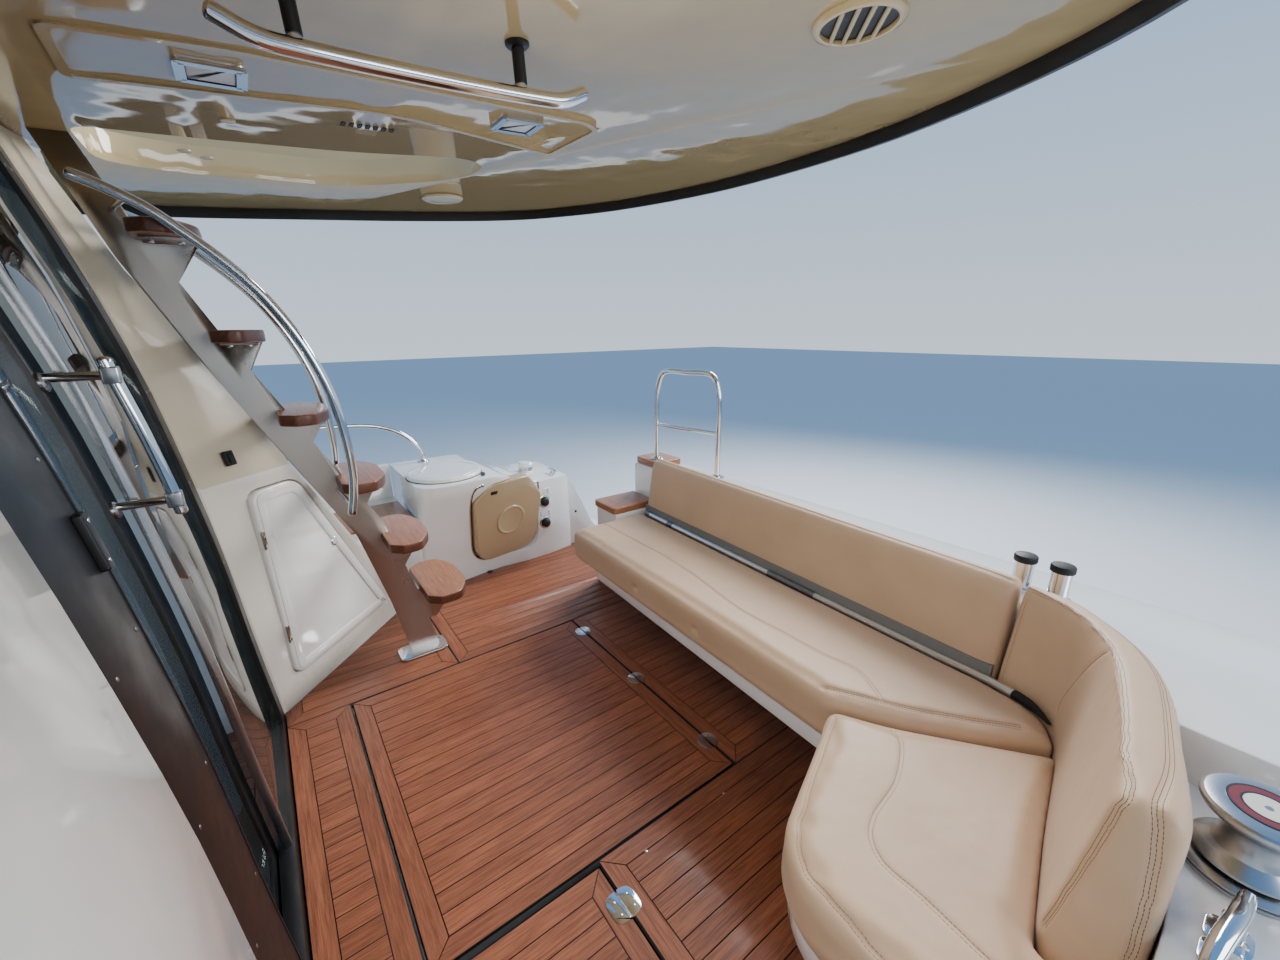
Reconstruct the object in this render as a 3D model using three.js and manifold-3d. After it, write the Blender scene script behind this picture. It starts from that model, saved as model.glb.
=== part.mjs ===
// Aft cockpit section of a flybridge motor yacht: teak sole with hatches, L-shaped sofa, stair to the
// flybridge, raked glass bulkhead, side decks, transom quarter and the flybridge overhang above.
// Millimetres. X is to starboard, Y is forward, Z is up. Z = 0 is the flat bottom of the section.
import * as THREE from 'three';
import { mergeVertices } from 'three/addons/utils/BufferGeometryUtils.js';
import Module from 'manifold-3d';

const wasm = await Module();
wasm.setup();

// Driving dimensions
const halfBeam = 1900;
const aftEnd = -1230;
const cutEnd = 1250;
const deckMould = 578;
const soleTop = 600;
const gap = 0.3;
const seam = 6;
const lidSeat = 50;

const seatTop = 1050;
const cushionThick = 125;
const seatPan = 55;
const coamingTop = 1285;
const backTop = 1360;

const overhangRise = 2603;
const overhangTilt = -0.05;
const rimDrop = 45;
const overhangDeck = 140;
const overhangTop = 330;

const stringerX = 775;
const stringerHalf = 8;
const treadInner = 568;
const treadOuter = 990;
const treadThick = 40;
const railOff = 32;

// Materials
const paint = (color, roughness, metalness = 0) =>
  new THREE.MeshStandardMaterial({ color, roughness, metalness });
const gelcoat = paint('#f2f0ea', 0.18);
const cream = paint('#cdbfa6', 0.16);
const teak = paint('#8a4b2e', 0.55);
const varnish = paint('#a4562e', 0.3);
const leather = paint('#c9b18f', 0.5);
const steel = paint('#c9ccd0', 0.15, 1);
const satin = paint('#b4b6b8', 0.35, 1);
const black = paint('#101011', 0.35);
const tan = paint('#c2ab84', 0.2);
const glass = new THREE.MeshStandardMaterial({
  color: '#3b4144', roughness: 0.03, metalness: 0, transparent: true, opacity: 0.35,
});

// Solids from three.js geometry
function toSolid(geometry) {
  const bare = geometry.clone();
  for (const name of Object.keys(bare.attributes)) {
    if (name !== 'position') bare.deleteAttribute(name);
  }
  const merged = mergeVertices(bare, 1e-3);
  const points = new Float32Array(merged.attributes.position.array);
  const corners = Uint32Array.from(merged.index.array);
  if (signedVolume(points, corners) < 0) {
    for (let i = 0; i < corners.length; i += 3) {
      [corners[i + 1], corners[i + 2]] = [corners[i + 2], corners[i + 1]];
    }
  }
  return new wasm.Manifold(new wasm.Mesh({ numProp: 3, vertProperties: points, triVerts: corners }));
}

function signedVolume(points, corners) {
  const at = (k) => new THREE.Vector3().fromArray(points, 3 * k);
  let sum = 0;
  for (let i = 0; i < corners.length; i += 3) {
    sum += at(corners[i]).dot(at(corners[i + 1]).cross(at(corners[i + 2])));
  }
  return sum / 6;
}

function toGeometry(solid) {
  const mesh = solid.getMesh();
  const geometry = new THREE.BufferGeometry();
  geometry.setAttribute('position', new THREE.BufferAttribute(mesh.vertProperties, 3));
  geometry.setIndex(new THREE.BufferAttribute(mesh.triVerts, 1));
  geometry.computeVertexNormals();
  return geometry;
}

const join = (solids) => solids.reduce((sum, solid) => sum.add(solid));
const largest = (solid) => solid.decompose().sort((a, b) => b.volume() - a.volume())[0];

// Counter-clockwise polygon whose corners are [x, y, radius]; a radius rounds its corner
function outline(corners, steps = 4) {
  const points = [];
  corners.forEach(([x, y, radius = 0], i) => {
    const here = new THREE.Vector2(x, y);
    const [px, py] = corners[(i + corners.length - 1) % corners.length];
    const [nx, ny] = corners[(i + 1) % corners.length];
    if (!radius) {
      points.push(here);
      return;
    }
    const back = new THREE.Vector2(px - x, py - y);
    const ahead = new THREE.Vector2(nx - x, ny - y);
    const reach = Math.min(radius, 0.48 * back.length(), 0.48 * ahead.length());
    const start = back.setLength(reach).add(here);
    const end = ahead.setLength(reach).add(here);
    points.push(...new THREE.QuadraticBezierCurve(start, here, end).getPoints(steps));
  });
  const kept = points.filter((point, i) => point.distanceTo(points[(i + 1) % points.length]) > 0.5);
  return THREE.ShapeUtils.area(kept) > 0 ? kept : kept.reverse();
}

// Moves each edge of a counter-clockwise polygon outwards by the distance
function grown(points, distance) {
  return points.map((here, i) => {
    const before = points[(i + points.length - 1) % points.length];
    const after = points[(i + 1) % points.length];
    const a = here.clone().sub(before).normalize();
    const b = after.clone().sub(here).normalize();
    const normal = new THREE.Vector2(a.y + b.y, -a.x - b.x).normalize();
    const stretch = Math.max(0.5, normal.dot(new THREE.Vector2(a.y, -a.x)));
    return here.clone().addScaledVector(normal, distance / stretch);
  });
}

// Prism of a flat outline standing on Z = 0, with its end edges rounded when a radius is given
function extruded(points, depth, round = 0) {
  if (!round) {
    return new THREE.ExtrudeGeometry(new THREE.Shape(points), { depth, bevelEnabled: false, steps: 1 });
  }
  const levels = [[0, 1], [0.3, 0.3], [1, 0]];
  const rise = [...levels.map(([up, inset]) => [up * round, inset * round])];
  const fall = levels.toReversed().map(([up, inset]) => [depth - up * round, inset * round]);
  return skin([...rise, ...fall].map(([z, inset]) => grown(points, -inset).map(({ x, y }) => [x, y, z])));
}

// Prism on a plan outline, from one height to another
const upright = (points, low, high, round = 0) =>
  toSolid(extruded(points, high - low, round).translate(0, 0, low));

// Prism on a [y, z] outline, from one x to another
function crosswise(points, from, to, round = 0) {
  const turn = new THREE.Matrix4().makeBasis(
    new THREE.Vector3(0, 1, 0), new THREE.Vector3(0, 0, 1), new THREE.Vector3(1, 0, 0));
  return toSolid(extruded(points, to - from, round).applyMatrix4(turn).translate(from, 0, 0));
}

// Straight block between two corners
function block(x0, x1, y0, y1, z0, z1) {
  const shape = new THREE.BoxGeometry(x1 - x0, y1 - y0, z1 - z0);
  return toSolid(shape.translate((x0 + x1) / 2, (y0 + y1) / 2, (z0 + z1) / 2));
}

// Turned shape about a vertical axis from a [radius, z] profile
function turned(profile, x, y, sides = 32) {
  const points = profile.map(([radius, z]) => new THREE.Vector2(radius, z));
  return toSolid(new THREE.LatheGeometry(points, sides).rotateX(Math.PI / 2).translate(x, y, 0));
}

// Round bar that follows a smooth line through the points
function bar(route, radius, steps, sides = 10) {
  const curve = new THREE.CatmullRomCurve3(route.map((p) => new THREE.Vector3(...p)), false, 'centripetal');
  const ring = new THREE.Shape(outline(circle(radius, sides)));
  return toSolid(new THREE.ExtrudeGeometry(ring, { steps, extrudePath: curve, bevelEnabled: false }));
}

// Skin through sections with the same number of corners, closed at both ends; the ends are flat
// when seen along the axis that the two given coordinates leave out
function skin(levels, [u, v] = [0, 1]) {
  const area = THREE.ShapeUtils.area(levels[0].map((point) => new THREE.Vector2(point[u], point[v])));
  const sections = area > 0 ? levels : levels.map((section) => section.toReversed());
  const count = sections[0].length;
  const index = [];
  for (let level = 0; level + 1 < sections.length; level += 1) {
    for (let i = 0; i < count; i += 1) {
      const a = level * count + i;
      const b = level * count + ((i + 1) % count);
      index.push(a, b, b + count, a, b + count, a + count);
    }
  }
  const cap = (section) =>
    THREE.ShapeUtils.triangulateShape(section.map((point) => new THREE.Vector2(point[u], point[v])), []);
  const last = (sections.length - 1) * count;
  for (const [a, b, c] of cap(sections[0])) index.push(a, c, b);
  for (const [a, b, c] of cap(sections[sections.length - 1])) index.push(last + a, last + b, last + c);
  const geometry = new THREE.BufferGeometry();
  geometry.setAttribute('position', new THREE.Float32BufferAttribute(sections.flat(2), 3));
  geometry.setIndex(index);
  return geometry;
}
const lofted = (sections, plane) => toSolid(skin(sections, plane));

const yacht = new THREE.Group();
const overhang = new THREE.Group();
overhang.position.z = overhangRise;
overhang.rotation.x = overhangTilt;
yacht.add(overhang);

function piece(name, solid, material, parent = yacht) {
  const mesh = new THREE.Mesh(toGeometry(solid), material);
  mesh.name = name;
  parent.add(mesh);
}

// Height of the overhang's underside above the point y
const ceilingAt = (y) =>
  overhangRise + y * Math.tan(overhangTilt) + rimDrop / Math.cos(overhangTilt);

// Outlines on deck, counter-clockwise seen from above
const hullPlan = outline([
  [-halfBeam, aftEnd, 260], [halfBeam, aftEnd, 260], [halfBeam, cutEnd], [-halfBeam, cutEnd],
], 6);
const hatchCentre = { x0: -577, x1: 568, y0: -390, y1: 630 };
const hatchPort = { x0: -1280, x1: -590, y0: 172, y1: 660 };
const hatches = [hatchCentre, hatchPort];

const coamingPlan = outline([
  [-halfBeam, aftEnd, 260], [864, aftEnd, 30], [864, -1018], [545, -1006], [-1245, -931, 60],
  [-1412, -788, 100], [-1480, -648, 100], [-1524, -448, 80], [-1556, -290, 80], [-1556, 130],
  [-halfBeam, 130],
]);
const endBoxPlan = outline([[650, -1005], [864, -1016], [864, -735, 30], [650, -735]]);
const sofaBack = [[-1550, -290], [-1518, -446], [-1474, -646], [-1406, -784], [-1245, -930], [648, -1002]];
const sofaFoot = outline([
  ...sofaBack, [648, -740], [-690, -722, 40], [-975, -640, 120], [-1025, -330, 160],
  [-1112, -40, 60], [-1190, 20, 16], [-1550, 20],
]);
const sofaPan = outline([
  ...sofaBack, [648, -760], [560, -640, 60], [470, -472, 60], [-878, -414, 20], [-957, -268, 80],
  [-1060, -8, 100], [-1156, 60, 50], [-1550, 60],
]);
const cabinetCorners = [
  { foot: [1320, 128, 20], top: [1250, 128, 60] },
  { foot: [1330, 60, 30], top: [1182, 60, 90] },
  { foot: [1345, -60, 30], top: [1175, -60, 60] },
  { foot: [1392, -330, 60], top: [1215, -330, 120] },
  { foot: [1376, -520, 40], top: [1330, -520, 60] },
  { foot: [1388, -700, 40], top: [1390, -700, 60] },
  { foot: [1420, -862], top: [1440, -862] },
  { foot: [halfBeam, -862], top: [halfBeam, -862] },
  { foot: [halfBeam, 128], top: [halfBeam, 128] },
];
// Outline between the foot's and the top's, with a share of the way up
const blended = (corners, share) => outline(corners.map(({ foot, top }) =>
  [0, 1, 2].map((k) => THREE.MathUtils.lerp(foot[k] ?? 0, top[k] ?? 0, share))), 6);
const cabinetFoot = blended(cabinetCorners, 0);
const sideDeckPlan = outline([[1292, 132], [halfBeam, 132], [halfBeam, cutEnd], [1292, cutEnd]]);
const wingFoot = outline([[672, 838], [1290, 238], [1290, cutEnd], [672, cutEnd]]);
const mirrored = (points) => points.map(({ x, y }) => new THREE.Vector2(-x, y)).reverse();

// The coaming's outline, a little larger, is cut from what stands against it
const coamingClear = upright(grown(coamingPlan, 1), deckMould - 10, coamingTop + 200);

// Hull section: one closed moulding with a locker under each hatch
function hullSection() {
  const ledge = 28;
  const lockerFloor = 130;
  let solid = upright(hullPlan, 0, deckMould);
  for (const { x0, x1, y0, y1 } of hatches) {
    solid = solid.subtract(block(x0, x1, y0, y1, soleTop - lidSeat, soleTop));
    const [a, b] = [x0 + ledge, x1 - ledge];
    solid = solid.subtract(block(a, b, y0 + ledge, y1 - ledge, lockerFloor, soleTop));
  }
  return solid;
}
piece('hull_and_sole', hullSection(), gelcoat);

// Teak laid on the sole, cut back from everything that stands on the moulding
const sideDecks = [sideDeckPlan, mirrored(sideDeckPlan)];
const standing = [coamingPlan, endBoxPlan, sofaFoot, cabinetFoot, ...sideDecks, wingFoot];
function soleTeak() {
  const low = deckMould + gap;
  const field = outline([
    [-1880, -1190, 60], [1440, -1190, 20], [1440, 846], [-1880, 846],
  ]);
  let solid = upright(field, low, soleTop);
  for (const plan of standing) solid = solid.subtract(upright(grown(plan, 2), low - 10, soleTop + 10));
  for (const { x0, x1, y0, y1 } of hatches) {
    solid = solid.subtract(block(x0, x1, y0, y1, low - 10, soleTop + 10));
  }
  return largest(solid);
}
piece('sole_teak', soleTeak(), teak);

// Lids with a running gap all round
const lid = ({ x0, x1, y0, y1 }) =>
  block(x0 + seam, x1 - seam, y0 + seam, y1 - seam, soleTop - lidSeat + gap, soleTop);
piece('hatch_centre', lid(hatchCentre), teak);
piece('hatch_port', lid(hatchPort), teak);
piece('saloon_floor', block(-1222, 668, 894, cutEnd, deckMould + gap, soleTop), teak);

// Coaming along the transom, lower on the port quarter, where the capstan and the cleat stand
const quarterDeck = 1170;
piece('coaming_transom', upright(coamingPlan, deckMould + gap, coamingTop, 14)
  .subtract(block(-2000, -1400, -640, 200, quarterDeck, coamingTop + 100)), gelcoat);

// White box at the sofa's end with two teak steps
piece('end_box', upright(endBoxPlan, deckMould + gap, 1075).subtract(coamingClear), gelcoat);
const steps = [
  { name: 'end_step_lower', plan: [[655, -998], [866, -1008], [872, -728, 30], [655, -728, 20]], low: 1075 },
  {
    name: 'end_step_upper', low: 1285,
    plan: [[655, -1205, 20], [872, -1205, 30], [866, -1030, 20], [655, -1022, 20]],
  },
];
for (const { name, plan, low } of steps) {
  piece(name, upright(outline(plan), low + gap, low + 35, 6), varnish);
}

// Sofa: moulded foot and pan, two seat cushions, two backrests and a tube in the joint between them
const seatLow = seatTop - cushionThick;
const panLow = seatLow - seatPan;
const cushionRound = 16;
const longSeatRise = 16;
piece('sofa_base', upright(sofaFoot, deckMould + gap, panLow + 1)
  .add(upright(sofaPan, panLow, seatLow - gap)).subtract(coamingClear), gelcoat);
piece('seat_long', upright(outline([
  [628, -888, 40], [640, -446, 60], [-884, -401, 24], [-1020, -470, 60], [-1172, -583, 60], [-1304, -692, 40],
  [-1256, -790, 50], [-1120, -814, 20],
]), seatLow, seatTop + longSeatRise, cushionRound), leather);
piece('seat_chaise', upright(outline([
  [-893, -394, 34], [-945, -270, 80], [-1046, 0, 120], [-1150, 72, 60], [-1544, 72, 40], [-1544, -158, 24],
  [-1430, -179, 6], [-1370, -434, 60], [-1324, -672, 46], [-1176, -577, 60], [-1024, -464, 60],
]), seatLow, seatTop, cushionRound), leather);

// The long backrest leans back: its line along the boat, then its section at any x
const backLine = { y: -905, slope: -0.042 };
const backAt = (x) => backLine.y + backLine.slope * x;
const backSection = [
  [30, seatLow], [8, 1125], [-24, 1327], [-50, backTop], [-92, backTop], [-104, 1318], [-92, seatLow],
];
const backEnds = [-1128, 628].map((x) => backSection.map(([set, z]) => [x, backAt(x) + set, z]));
piece('backrest_long', lofted(backEnds, [1, 2]).subtract(coamingClear), leather);

// The corner backrest flares outwards above the seat and ends halfway along the chaise
const cornerBack = [
  { foot: [-1132, -850], top: [-1132, -905] },
  { foot: [-1262, -822, 70], top: [-1262, -846, 90] },
  { foot: [-1324, -703, 80], top: [-1358, -728, 80] },
  { foot: [-1378, -434, 60], top: [-1430, -470, 80] },
  { foot: [-1437, -188, 24], top: [-1472, -232, 20] },
  { foot: [-1550, -168, 26], top: [-1550, -243, 20] },
  ...[[-1550, -290, 30], [-1518, -440, 80], [-1474, -646, 100], [-1406, -784, 100], [-1250, -926, 60],
    [-1132, -932]].map((corner) => ({ foot: corner, top: corner })),
];
function cornerBackrest() {
  const round = 10;
  const levels = [
    [seatLow, 0], [seatTop, 0], [backTop - round, 0], [backTop - 0.3 * round, 0.3 * round], [backTop, round],
  ];
  return lofted(levels.map(([z, inset]) => {
    const share = Math.max(0, (z - seatTop) / (backTop - seatTop));
    return grown(blended(cornerBack, share), -inset).map(({ x, y }) => [x, y, z]);
  }));
}
piece('backrest_corner', cornerBackrest().subtract(coamingClear), leather);
const tube = { radius: 13, off: 27.9, z: 1066 };
const besideBack = (x) => [x, backAt(x) + tube.off, tube.z];
const tubeBend = [[-1078, -830.5, 1070], [-1170, -809, 1082], [-1248, -778, 1086]];
piece('seat_rail', bar([besideBack(-990), besideBack(600)], tube.radius, 2)
  .add(bar([besideBack(-980), ...tubeBend], tube.radius, 10)), steel);

// Flat slab with rounded edges, laid on a plane through the origin given with its two directions
function slab(points, low, high, round, [origin, along, up]) {
  const u = new THREE.Vector3(...along).normalize();
  const n = u.clone().cross(new THREE.Vector3(...up)).normalize();
  const v = n.clone().cross(u);
  const place = new THREE.Matrix4().makeBasis(u, v, n).setPosition(...origin);
  return toSolid(extruded(points, high - low, round).translate(0, 0, low).applyMatrix4(place));
}
const plate = (u0, u1, v0, v1, radius) =>
  outline([[u0, v0, radius], [u1, v0, radius], [u1, v1, radius], [u0, v1, radius]]);

// Starboard cabinet: narrow foot that swells to a wide top, lower towards the transom
const cabinetTop = 1250;
const swellLine = new THREE.SplineCurve([
  [deckMould + gap, 0], [740, 0], [960, 0.35], [1110, 0.72], [1195, 0.96], [cabinetTop, 1],
].map(([z, share]) => new THREE.Vector2(z, share)));
const cabinetSide = outline([
  [-900, 500], [200, 500], [200, cabinetTop], [-290, cabinetTop, 60], [-480, 1185, 80], [-590, 1120, 60],
  [-900, 1104],
]);
function cabinet(shift = 0) {
  const levels = swellLine.getPoints(20).map(({ x: z, y: share }) =>
    blended(cabinetCorners, Math.max(0, share)).map(({ x, y }) => [x + shift, y, z]));
  return lofted(levels).intersect(crosswise(cabinetSide, 1000, 2000));
}
const servicePlane = [[1330, -392, 951], [0.2, -0.98, 0], [-0.245, 0, 0.97]];
const serviceCorners = [
  [-205, -265, 110], [215, -265, 110], [225, 110, 30], [115, 262, 30], [-150, 265, 30], [-255, 165, 30],
];
const service = { low: -40, high: 26 };
piece('cabinet_starboard', cabinet()
  .subtract(slab(grown(outline(serviceCorners), seam), service.low, 200, 0, servicePlane)), gelcoat);
piece('service_hatch', slab(outline(serviceCorners), service.low + gap, service.high, 12, servicePlane)
  .add(slab(outline(circle(98)).map(({ x, y }) => new THREE.Vector2(x, y - 10)), service.high - 6,
    service.high + 10, 6, servicePlane)), tan);
piece('cabinet_lid', turned([
  [0, 0], [197, 0], [205, 9], [199, 22], [120, 30], [0, 32],
].map(([radius, rise]) => [radius, cabinetTop + gap + rise]), 1440, -75, 40), gelcoat);
const sockets = [{ name: 'socket_upper', z: 975 }, { name: 'socket_lower', z: 830 }];
for (const { name, z } of sockets) {
  piece(name, slab(outline(circle(34)), 0, 40, 5, [[1388, -660, z], [0, -1, 0], [0, 0, 1]])
    .subtract(cabinet(-gap)), black);
}

function circle(radius, sides = 24) {
  return Array.from({ length: sides }, (_, i) => {
    const turn = (2 * Math.PI * i) / sides;
    return [radius * Math.cos(turn), radius * Math.sin(turn)];
  });
}

// Starboard quarter, sloping down to the transom beside the gate
piece('quarter_starboard', crosswise(outline([
  [-864, deckMould + gap], [-864, 1090, 20], [-888, 1078, 20], [-988, 872, 60], [-1062, 705, 40],
  [-1120, 645, 30], [-1226, 625, 10], [-1226, deckMould + gap],
]), 1455, halfBeam - 60), gelcoat);

// Side decks with a bulwark, and teak pads on their aft steps
const sideDeckTop = 1050;
const sides = [{ name: 'starboard', hand: 1 }, { name: 'port', hand: -1 }];
for (const { name, hand } of sides) {
  const plan = hand > 0 ? sideDeckPlan : mirrored(sideDeckPlan);
  const [inner, outer] = [1292, halfBeam].map((x) => x * hand).sort((a, b) => a - b);
  const bulwark = hand > 0 ? [1850, halfBeam] : [-halfBeam, -1850];
  piece(`side_deck_${name}`, upright(plan, deckMould + gap, sideDeckTop, 10)
    .add(block(...bulwark, 140, cutEnd - 2, sideDeckTop - 20, 1255))
    .intersect(block(inner, outer, 132, cutEnd, 500, 1300)), gelcoat);
  const [from, to] = hand > 0 ? [1305, 1700] : [-1700, -1305];
  piece(`teak_pad_${name}`, upright(plate(from, to, 145, 490, 14), sideDeckTop + gap, sideDeckTop + 14, 3),
    varnish);
}

// Raked profile of the glass bulkhead as [y, z], and its y at any height
const rake = [
  [850, 600], [880, 950], [905, 1300], [938, 1600], [980, 1900], [1030, 2140], [1085, 2350],
  [1150, 2560], [1165, 2620],
];
const rakeCurve = new THREE.SplineCurve(rake.map(([y, z]) => new THREE.Vector2(y, z)));
const rakeSteps = rakeCurve.getPoints(160);
function rakeAt(z) {
  const i = Math.max(1, rakeSteps.findIndex((point) => point.y >= z));
  const [a, b] = [rakeSteps[i - 1], rakeSteps[i]];
  return a.x + ((b.x - a.x) * (z - a.y)) / (b.y - a.y);
}
// Curved sheet between two heights, its aft face set forward of the profile
function rakeSheet(x0, x1, low, high, setBack, thick, steps = 14) {
  const heights = Array.from({ length: steps + 1 }, (_, i) => low + ((high(setBack) - low) * i) / steps);
  const aft = heights.map((z) => new THREE.Vector2(rakeAt(z) + setBack, z));
  const fore = heights.map((z) => new THREE.Vector2(rakeAt(z) + setBack + thick, z)).reverse();
  fore[0].y = high(setBack + thick);
  return crosswise([...aft, ...fore], x0, x1);
}
const underCeiling = (offset) => ceilingAt(1156 + offset) - gap;
const level = (z) => () => z;

const frameThick = 40;
const window = { x0: -430, x1: 570, z0: 640, z1: 2510 };
piece('bulkhead_frame', rakeSheet(-640, 668, deckMould + gap, underCeiling, 0, frameThick)
  .subtract(rakeSheet(window.x0, window.x1, window.z0, level(window.z1), -30, frameThick + 60)), black);
const pane = { x0: -22, x1: window.x1 - gap, z0: window.z0 + gap, z1: window.z1 - gap };
piece('glass_fixed', rakeSheet(pane.x0, pane.x1, pane.z0, level(pane.z1), 10, 12), glass);
piece('glass_edge', rakeSheet(pane.x0 - 16, pane.x0 - gap, pane.z0, level(pane.z1), 6, 20), satin);

// Sliding leaf behind the frame, with a bar handle that faces the cockpit
const leaf = { x0: -470, x1: -4, z0: 612, z1: 2540, setBack: frameThick + 6, thick: 28, stile: 76, rail: 60 };
const runner = (x) => block(x, x + 40, 902, 920, soleTop + gap, soleTop + 20);
piece('door_leaf_frame', rakeSheet(leaf.x0, leaf.x1, leaf.z0, level(leaf.z1), leaf.setBack, leaf.thick)
  .subtract(rakeSheet(leaf.x0 + leaf.stile, leaf.x1 - leaf.stile, leaf.z0 + leaf.rail,
    level(leaf.z1 - leaf.rail), leaf.setBack - 20, leaf.thick + 40))
  .add(runner(-440)).add(runner(-75)), black);
piece('door_leaf_glass', rakeSheet(leaf.x0 + leaf.stile + gap, leaf.x1 - leaf.stile - gap,
  leaf.z0 + leaf.rail + gap, level(leaf.z1 - leaf.rail - gap), leaf.setBack + 8, 12), glass);
function doorHandle() {
  const [x, out, low, high] = [-58, 55, 1700, 1970];
  const stand = { radius: 9, past: 7 };
  const spur = (z) => bar([
    [x, rakeAt(z - stand.radius) + leaf.setBack - gap, z], [x, rakeAt(z) - out - stand.past, z],
  ], stand.radius, 1);
  const rod = bar([low - 30, (low + high) / 2, high + 30].map((z) => [x, rakeAt(z) - out, z]), 12, 6);
  return join([rod, spur(low), spur(high)]);
}
piece('door_handle', doorHandle(), steel);

// White bulkhead to port of the door, with the saloon's side wall
piece('bulkhead_port', rakeSheet(-1222, -640 - gap, deckMould + gap, underCeiling, 0, frameThick), gelcoat);
const rakeUp = rakeSteps.filter(({ y: z }) => z < 2585);
const sideWall = [
  new THREE.Vector2(cutEnd, deckMould + gap), new THREE.Vector2(cutEnd, ceilingAt(cutEnd) - gap),
  new THREE.Vector2(1160, ceilingAt(1160) - gap),
  ...rakeUp.toReversed().map(({ x: y, y: z }) => new THREE.Vector2(y + 2, z)),
  new THREE.Vector2(852, deckMould + gap),
];
piece('saloon_side_port', crosswise(sideWall, -1290, -1226), gelcoat);

// Starboard wing wall: oblique aft face below, raked like the stair above
const wingInner = 672;
const wingLevels = [
  { z: deckMould + gap, end: [1288, 242], side: [1290, 262] },
  { z: 700, end: [1245, 286], side: [1288, 330] },
  { z: 1550, end: [880, 656], side: [1240, 770] },
  { z: 1900, end: [880, 800], side: [1210, 940] },
  { z: 2250, end: [880, 985], side: [1180, 1085] },
];
function wingWall() {
  const top = { end: [880, 1120], side: [1150, 1195] };
  const section = (first, { end, side }, heightAt) =>
    [[wingInner, first], end, side, [side[0], cutEnd], [wingInner, cutEnd]].map(([x, y]) => [x, y, heightAt(y)]);
  const rings = wingLevels.map((at) => section(rakeAt(Math.max(at.z, soleTop + 2)) - 8, at, () => at.z));
  return lofted([...rings, section(1150, top, (y) => ceilingAt(y) - gap)]);
}
const lockerPlane = [[672, 846, 600], [0.712, -0.702, 0], [0.02, 0.02, 1]];
const lockerPlate = outline([[84, 112, 50], [690, 112, 50], [296, 886, 60], [84, 886, 50]]);
const locker = { low: -30, high: 16 };
piece('wing_wall', wingWall().subtract(slab(grown(lockerPlate, seam), locker.low, 120, 0, lockerPlane)), cream);
piece('locker_door', slab(lockerPlate, locker.low + gap, locker.high, 10, lockerPlane), gelcoat);

// Stair: one steel stringer that narrows upwards, with a web and a seat plate under each teak tread
const stringerLine = [[282, 611], [338, 900], [430, 1250], [620, 1620], [790, 1960], [940, 2290], [1050, 2560]];
const stringerWidth = { foot: 62, head: 44 };
const stringerFoot = 612;
const treads = [
  { top: 950, aft: 80, fore: 275 },
  { top: 1220, aft: 214, fore: 392 },
  { top: 1500, aft: 345, fore: 520 },
  { top: 1775, aft: 500, fore: 668 },
  { top: 2057, aft: 648, fore: 800 },
  { top: 2365, aft: 760, fore: 930 },
];
// Both edges of the stringer, from foot to head: its line moved square to its run
function stringerEdge(hand, more) {
  const points = stringerLine.map(([y, z]) => new THREE.Vector2(y, z));
  const last = points.length - 1;
  const line = points.map((point, i) => {
    const along = points[Math.min(last, i + 1)].clone().sub(points[Math.max(0, i - 1)]).normalize();
    const half = THREE.MathUtils.lerp(stringerWidth.foot, stringerWidth.head, i / last) + more;
    return point.clone().addScaledVector(new THREE.Vector2(along.y, -along.x), hand * half);
  });
  line[0].y = stringerFoot - 1;
  line[last].y = ceilingAt(line[last].x) - gap;
  return line;
}
const stringerBand = (thick, more = 0) => crosswise(
  [...stringerEdge(-1, more), ...stringerEdge(1, more).reverse()], stringerX - thick, stringerX + thick);
const seatPlate = { half: 130, thick: 8 };
function treadSeat({ top, aft, fore }) {
  const seat = top - treadThick - gap;
  const web = [[aft + 15, seat], [fore + 10, seat], [fore, seat - 150], [fore - 60, seat - 150]]
    .map(([y, z]) => new THREE.Vector2(y, z));
  return crosswise(web, stringerX - stringerHalf, stringerX + stringerHalf).add(block(
    stringerX - seatPlate.half, stringerX + seatPlate.half, aft + 30, fore - 20, seat - seatPlate.thick, seat));
}
const footPlate = upright(plate(715, 835, 190, 400, 30), soleTop + gap, stringerFoot, 4);
piece('stair_stringer', join([stringerBand(stringerHalf), ...treads.map(treadSeat), footPlate]), satin);
const bandClear = stringerBand(stringerHalf + 1, 1);
const treadEnd = { arch: 45, cut: 45 };
treads.forEach(({ top, aft, fore }, i) => {
  const middle = (treadInner + treadOuter) / 2;
  const plan = outline([
    [treadInner + treadEnd.cut, fore], [treadInner, fore - treadEnd.cut],
    [treadInner, aft + treadEnd.arch + 20, 30], [middle - 110, aft + 6, 90], [middle + 110, aft + 6, 90],
    [treadOuter, aft + treadEnd.arch + 20, 30], [treadOuter, fore - treadEnd.cut],
    [treadOuter - treadEnd.cut, fore],
  ]);
  piece(`tread_${i + 1}`, upright(plan, top - treadThick, top, 6).subtract(bandClear), varnish);
});
const handrailLine = [
  [508, 1405], [492, 1480], [484, 1560], [487, 1690], [504, 1822], [535, 1939], [584, 2057], [648, 2166],
  [721, 2253], [791, 2319], [865, 2380], [942, 2423], [1000, 2447],
];
const railPins = [
  { from: [505, 1440], to: [522, 1440] },
  { from: [905, 2403], to: [965, 2403] },
];
const handrails = [
  { name: 'handrail_inboard', x: treadInner - railOff },
  { name: 'handrail_outboard', x: treadOuter + railOff },
];
const stringerClear = block(
  stringerX - stringerHalf - gap, stringerX + stringerHalf + gap, 300, 1200, 1300, 2600);
for (const { name, x } of handrails) {
  const pins = railPins.map(({ from, to }) => bar([[x, ...from], [stringerX, ...to]], 8, 1, 8));
  piece(name, join([bar(handrailLine.map(([y, z]) => [x, y, z]), 15, 34), ...pins])
    .subtract(stringerClear), steel);
}

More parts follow.
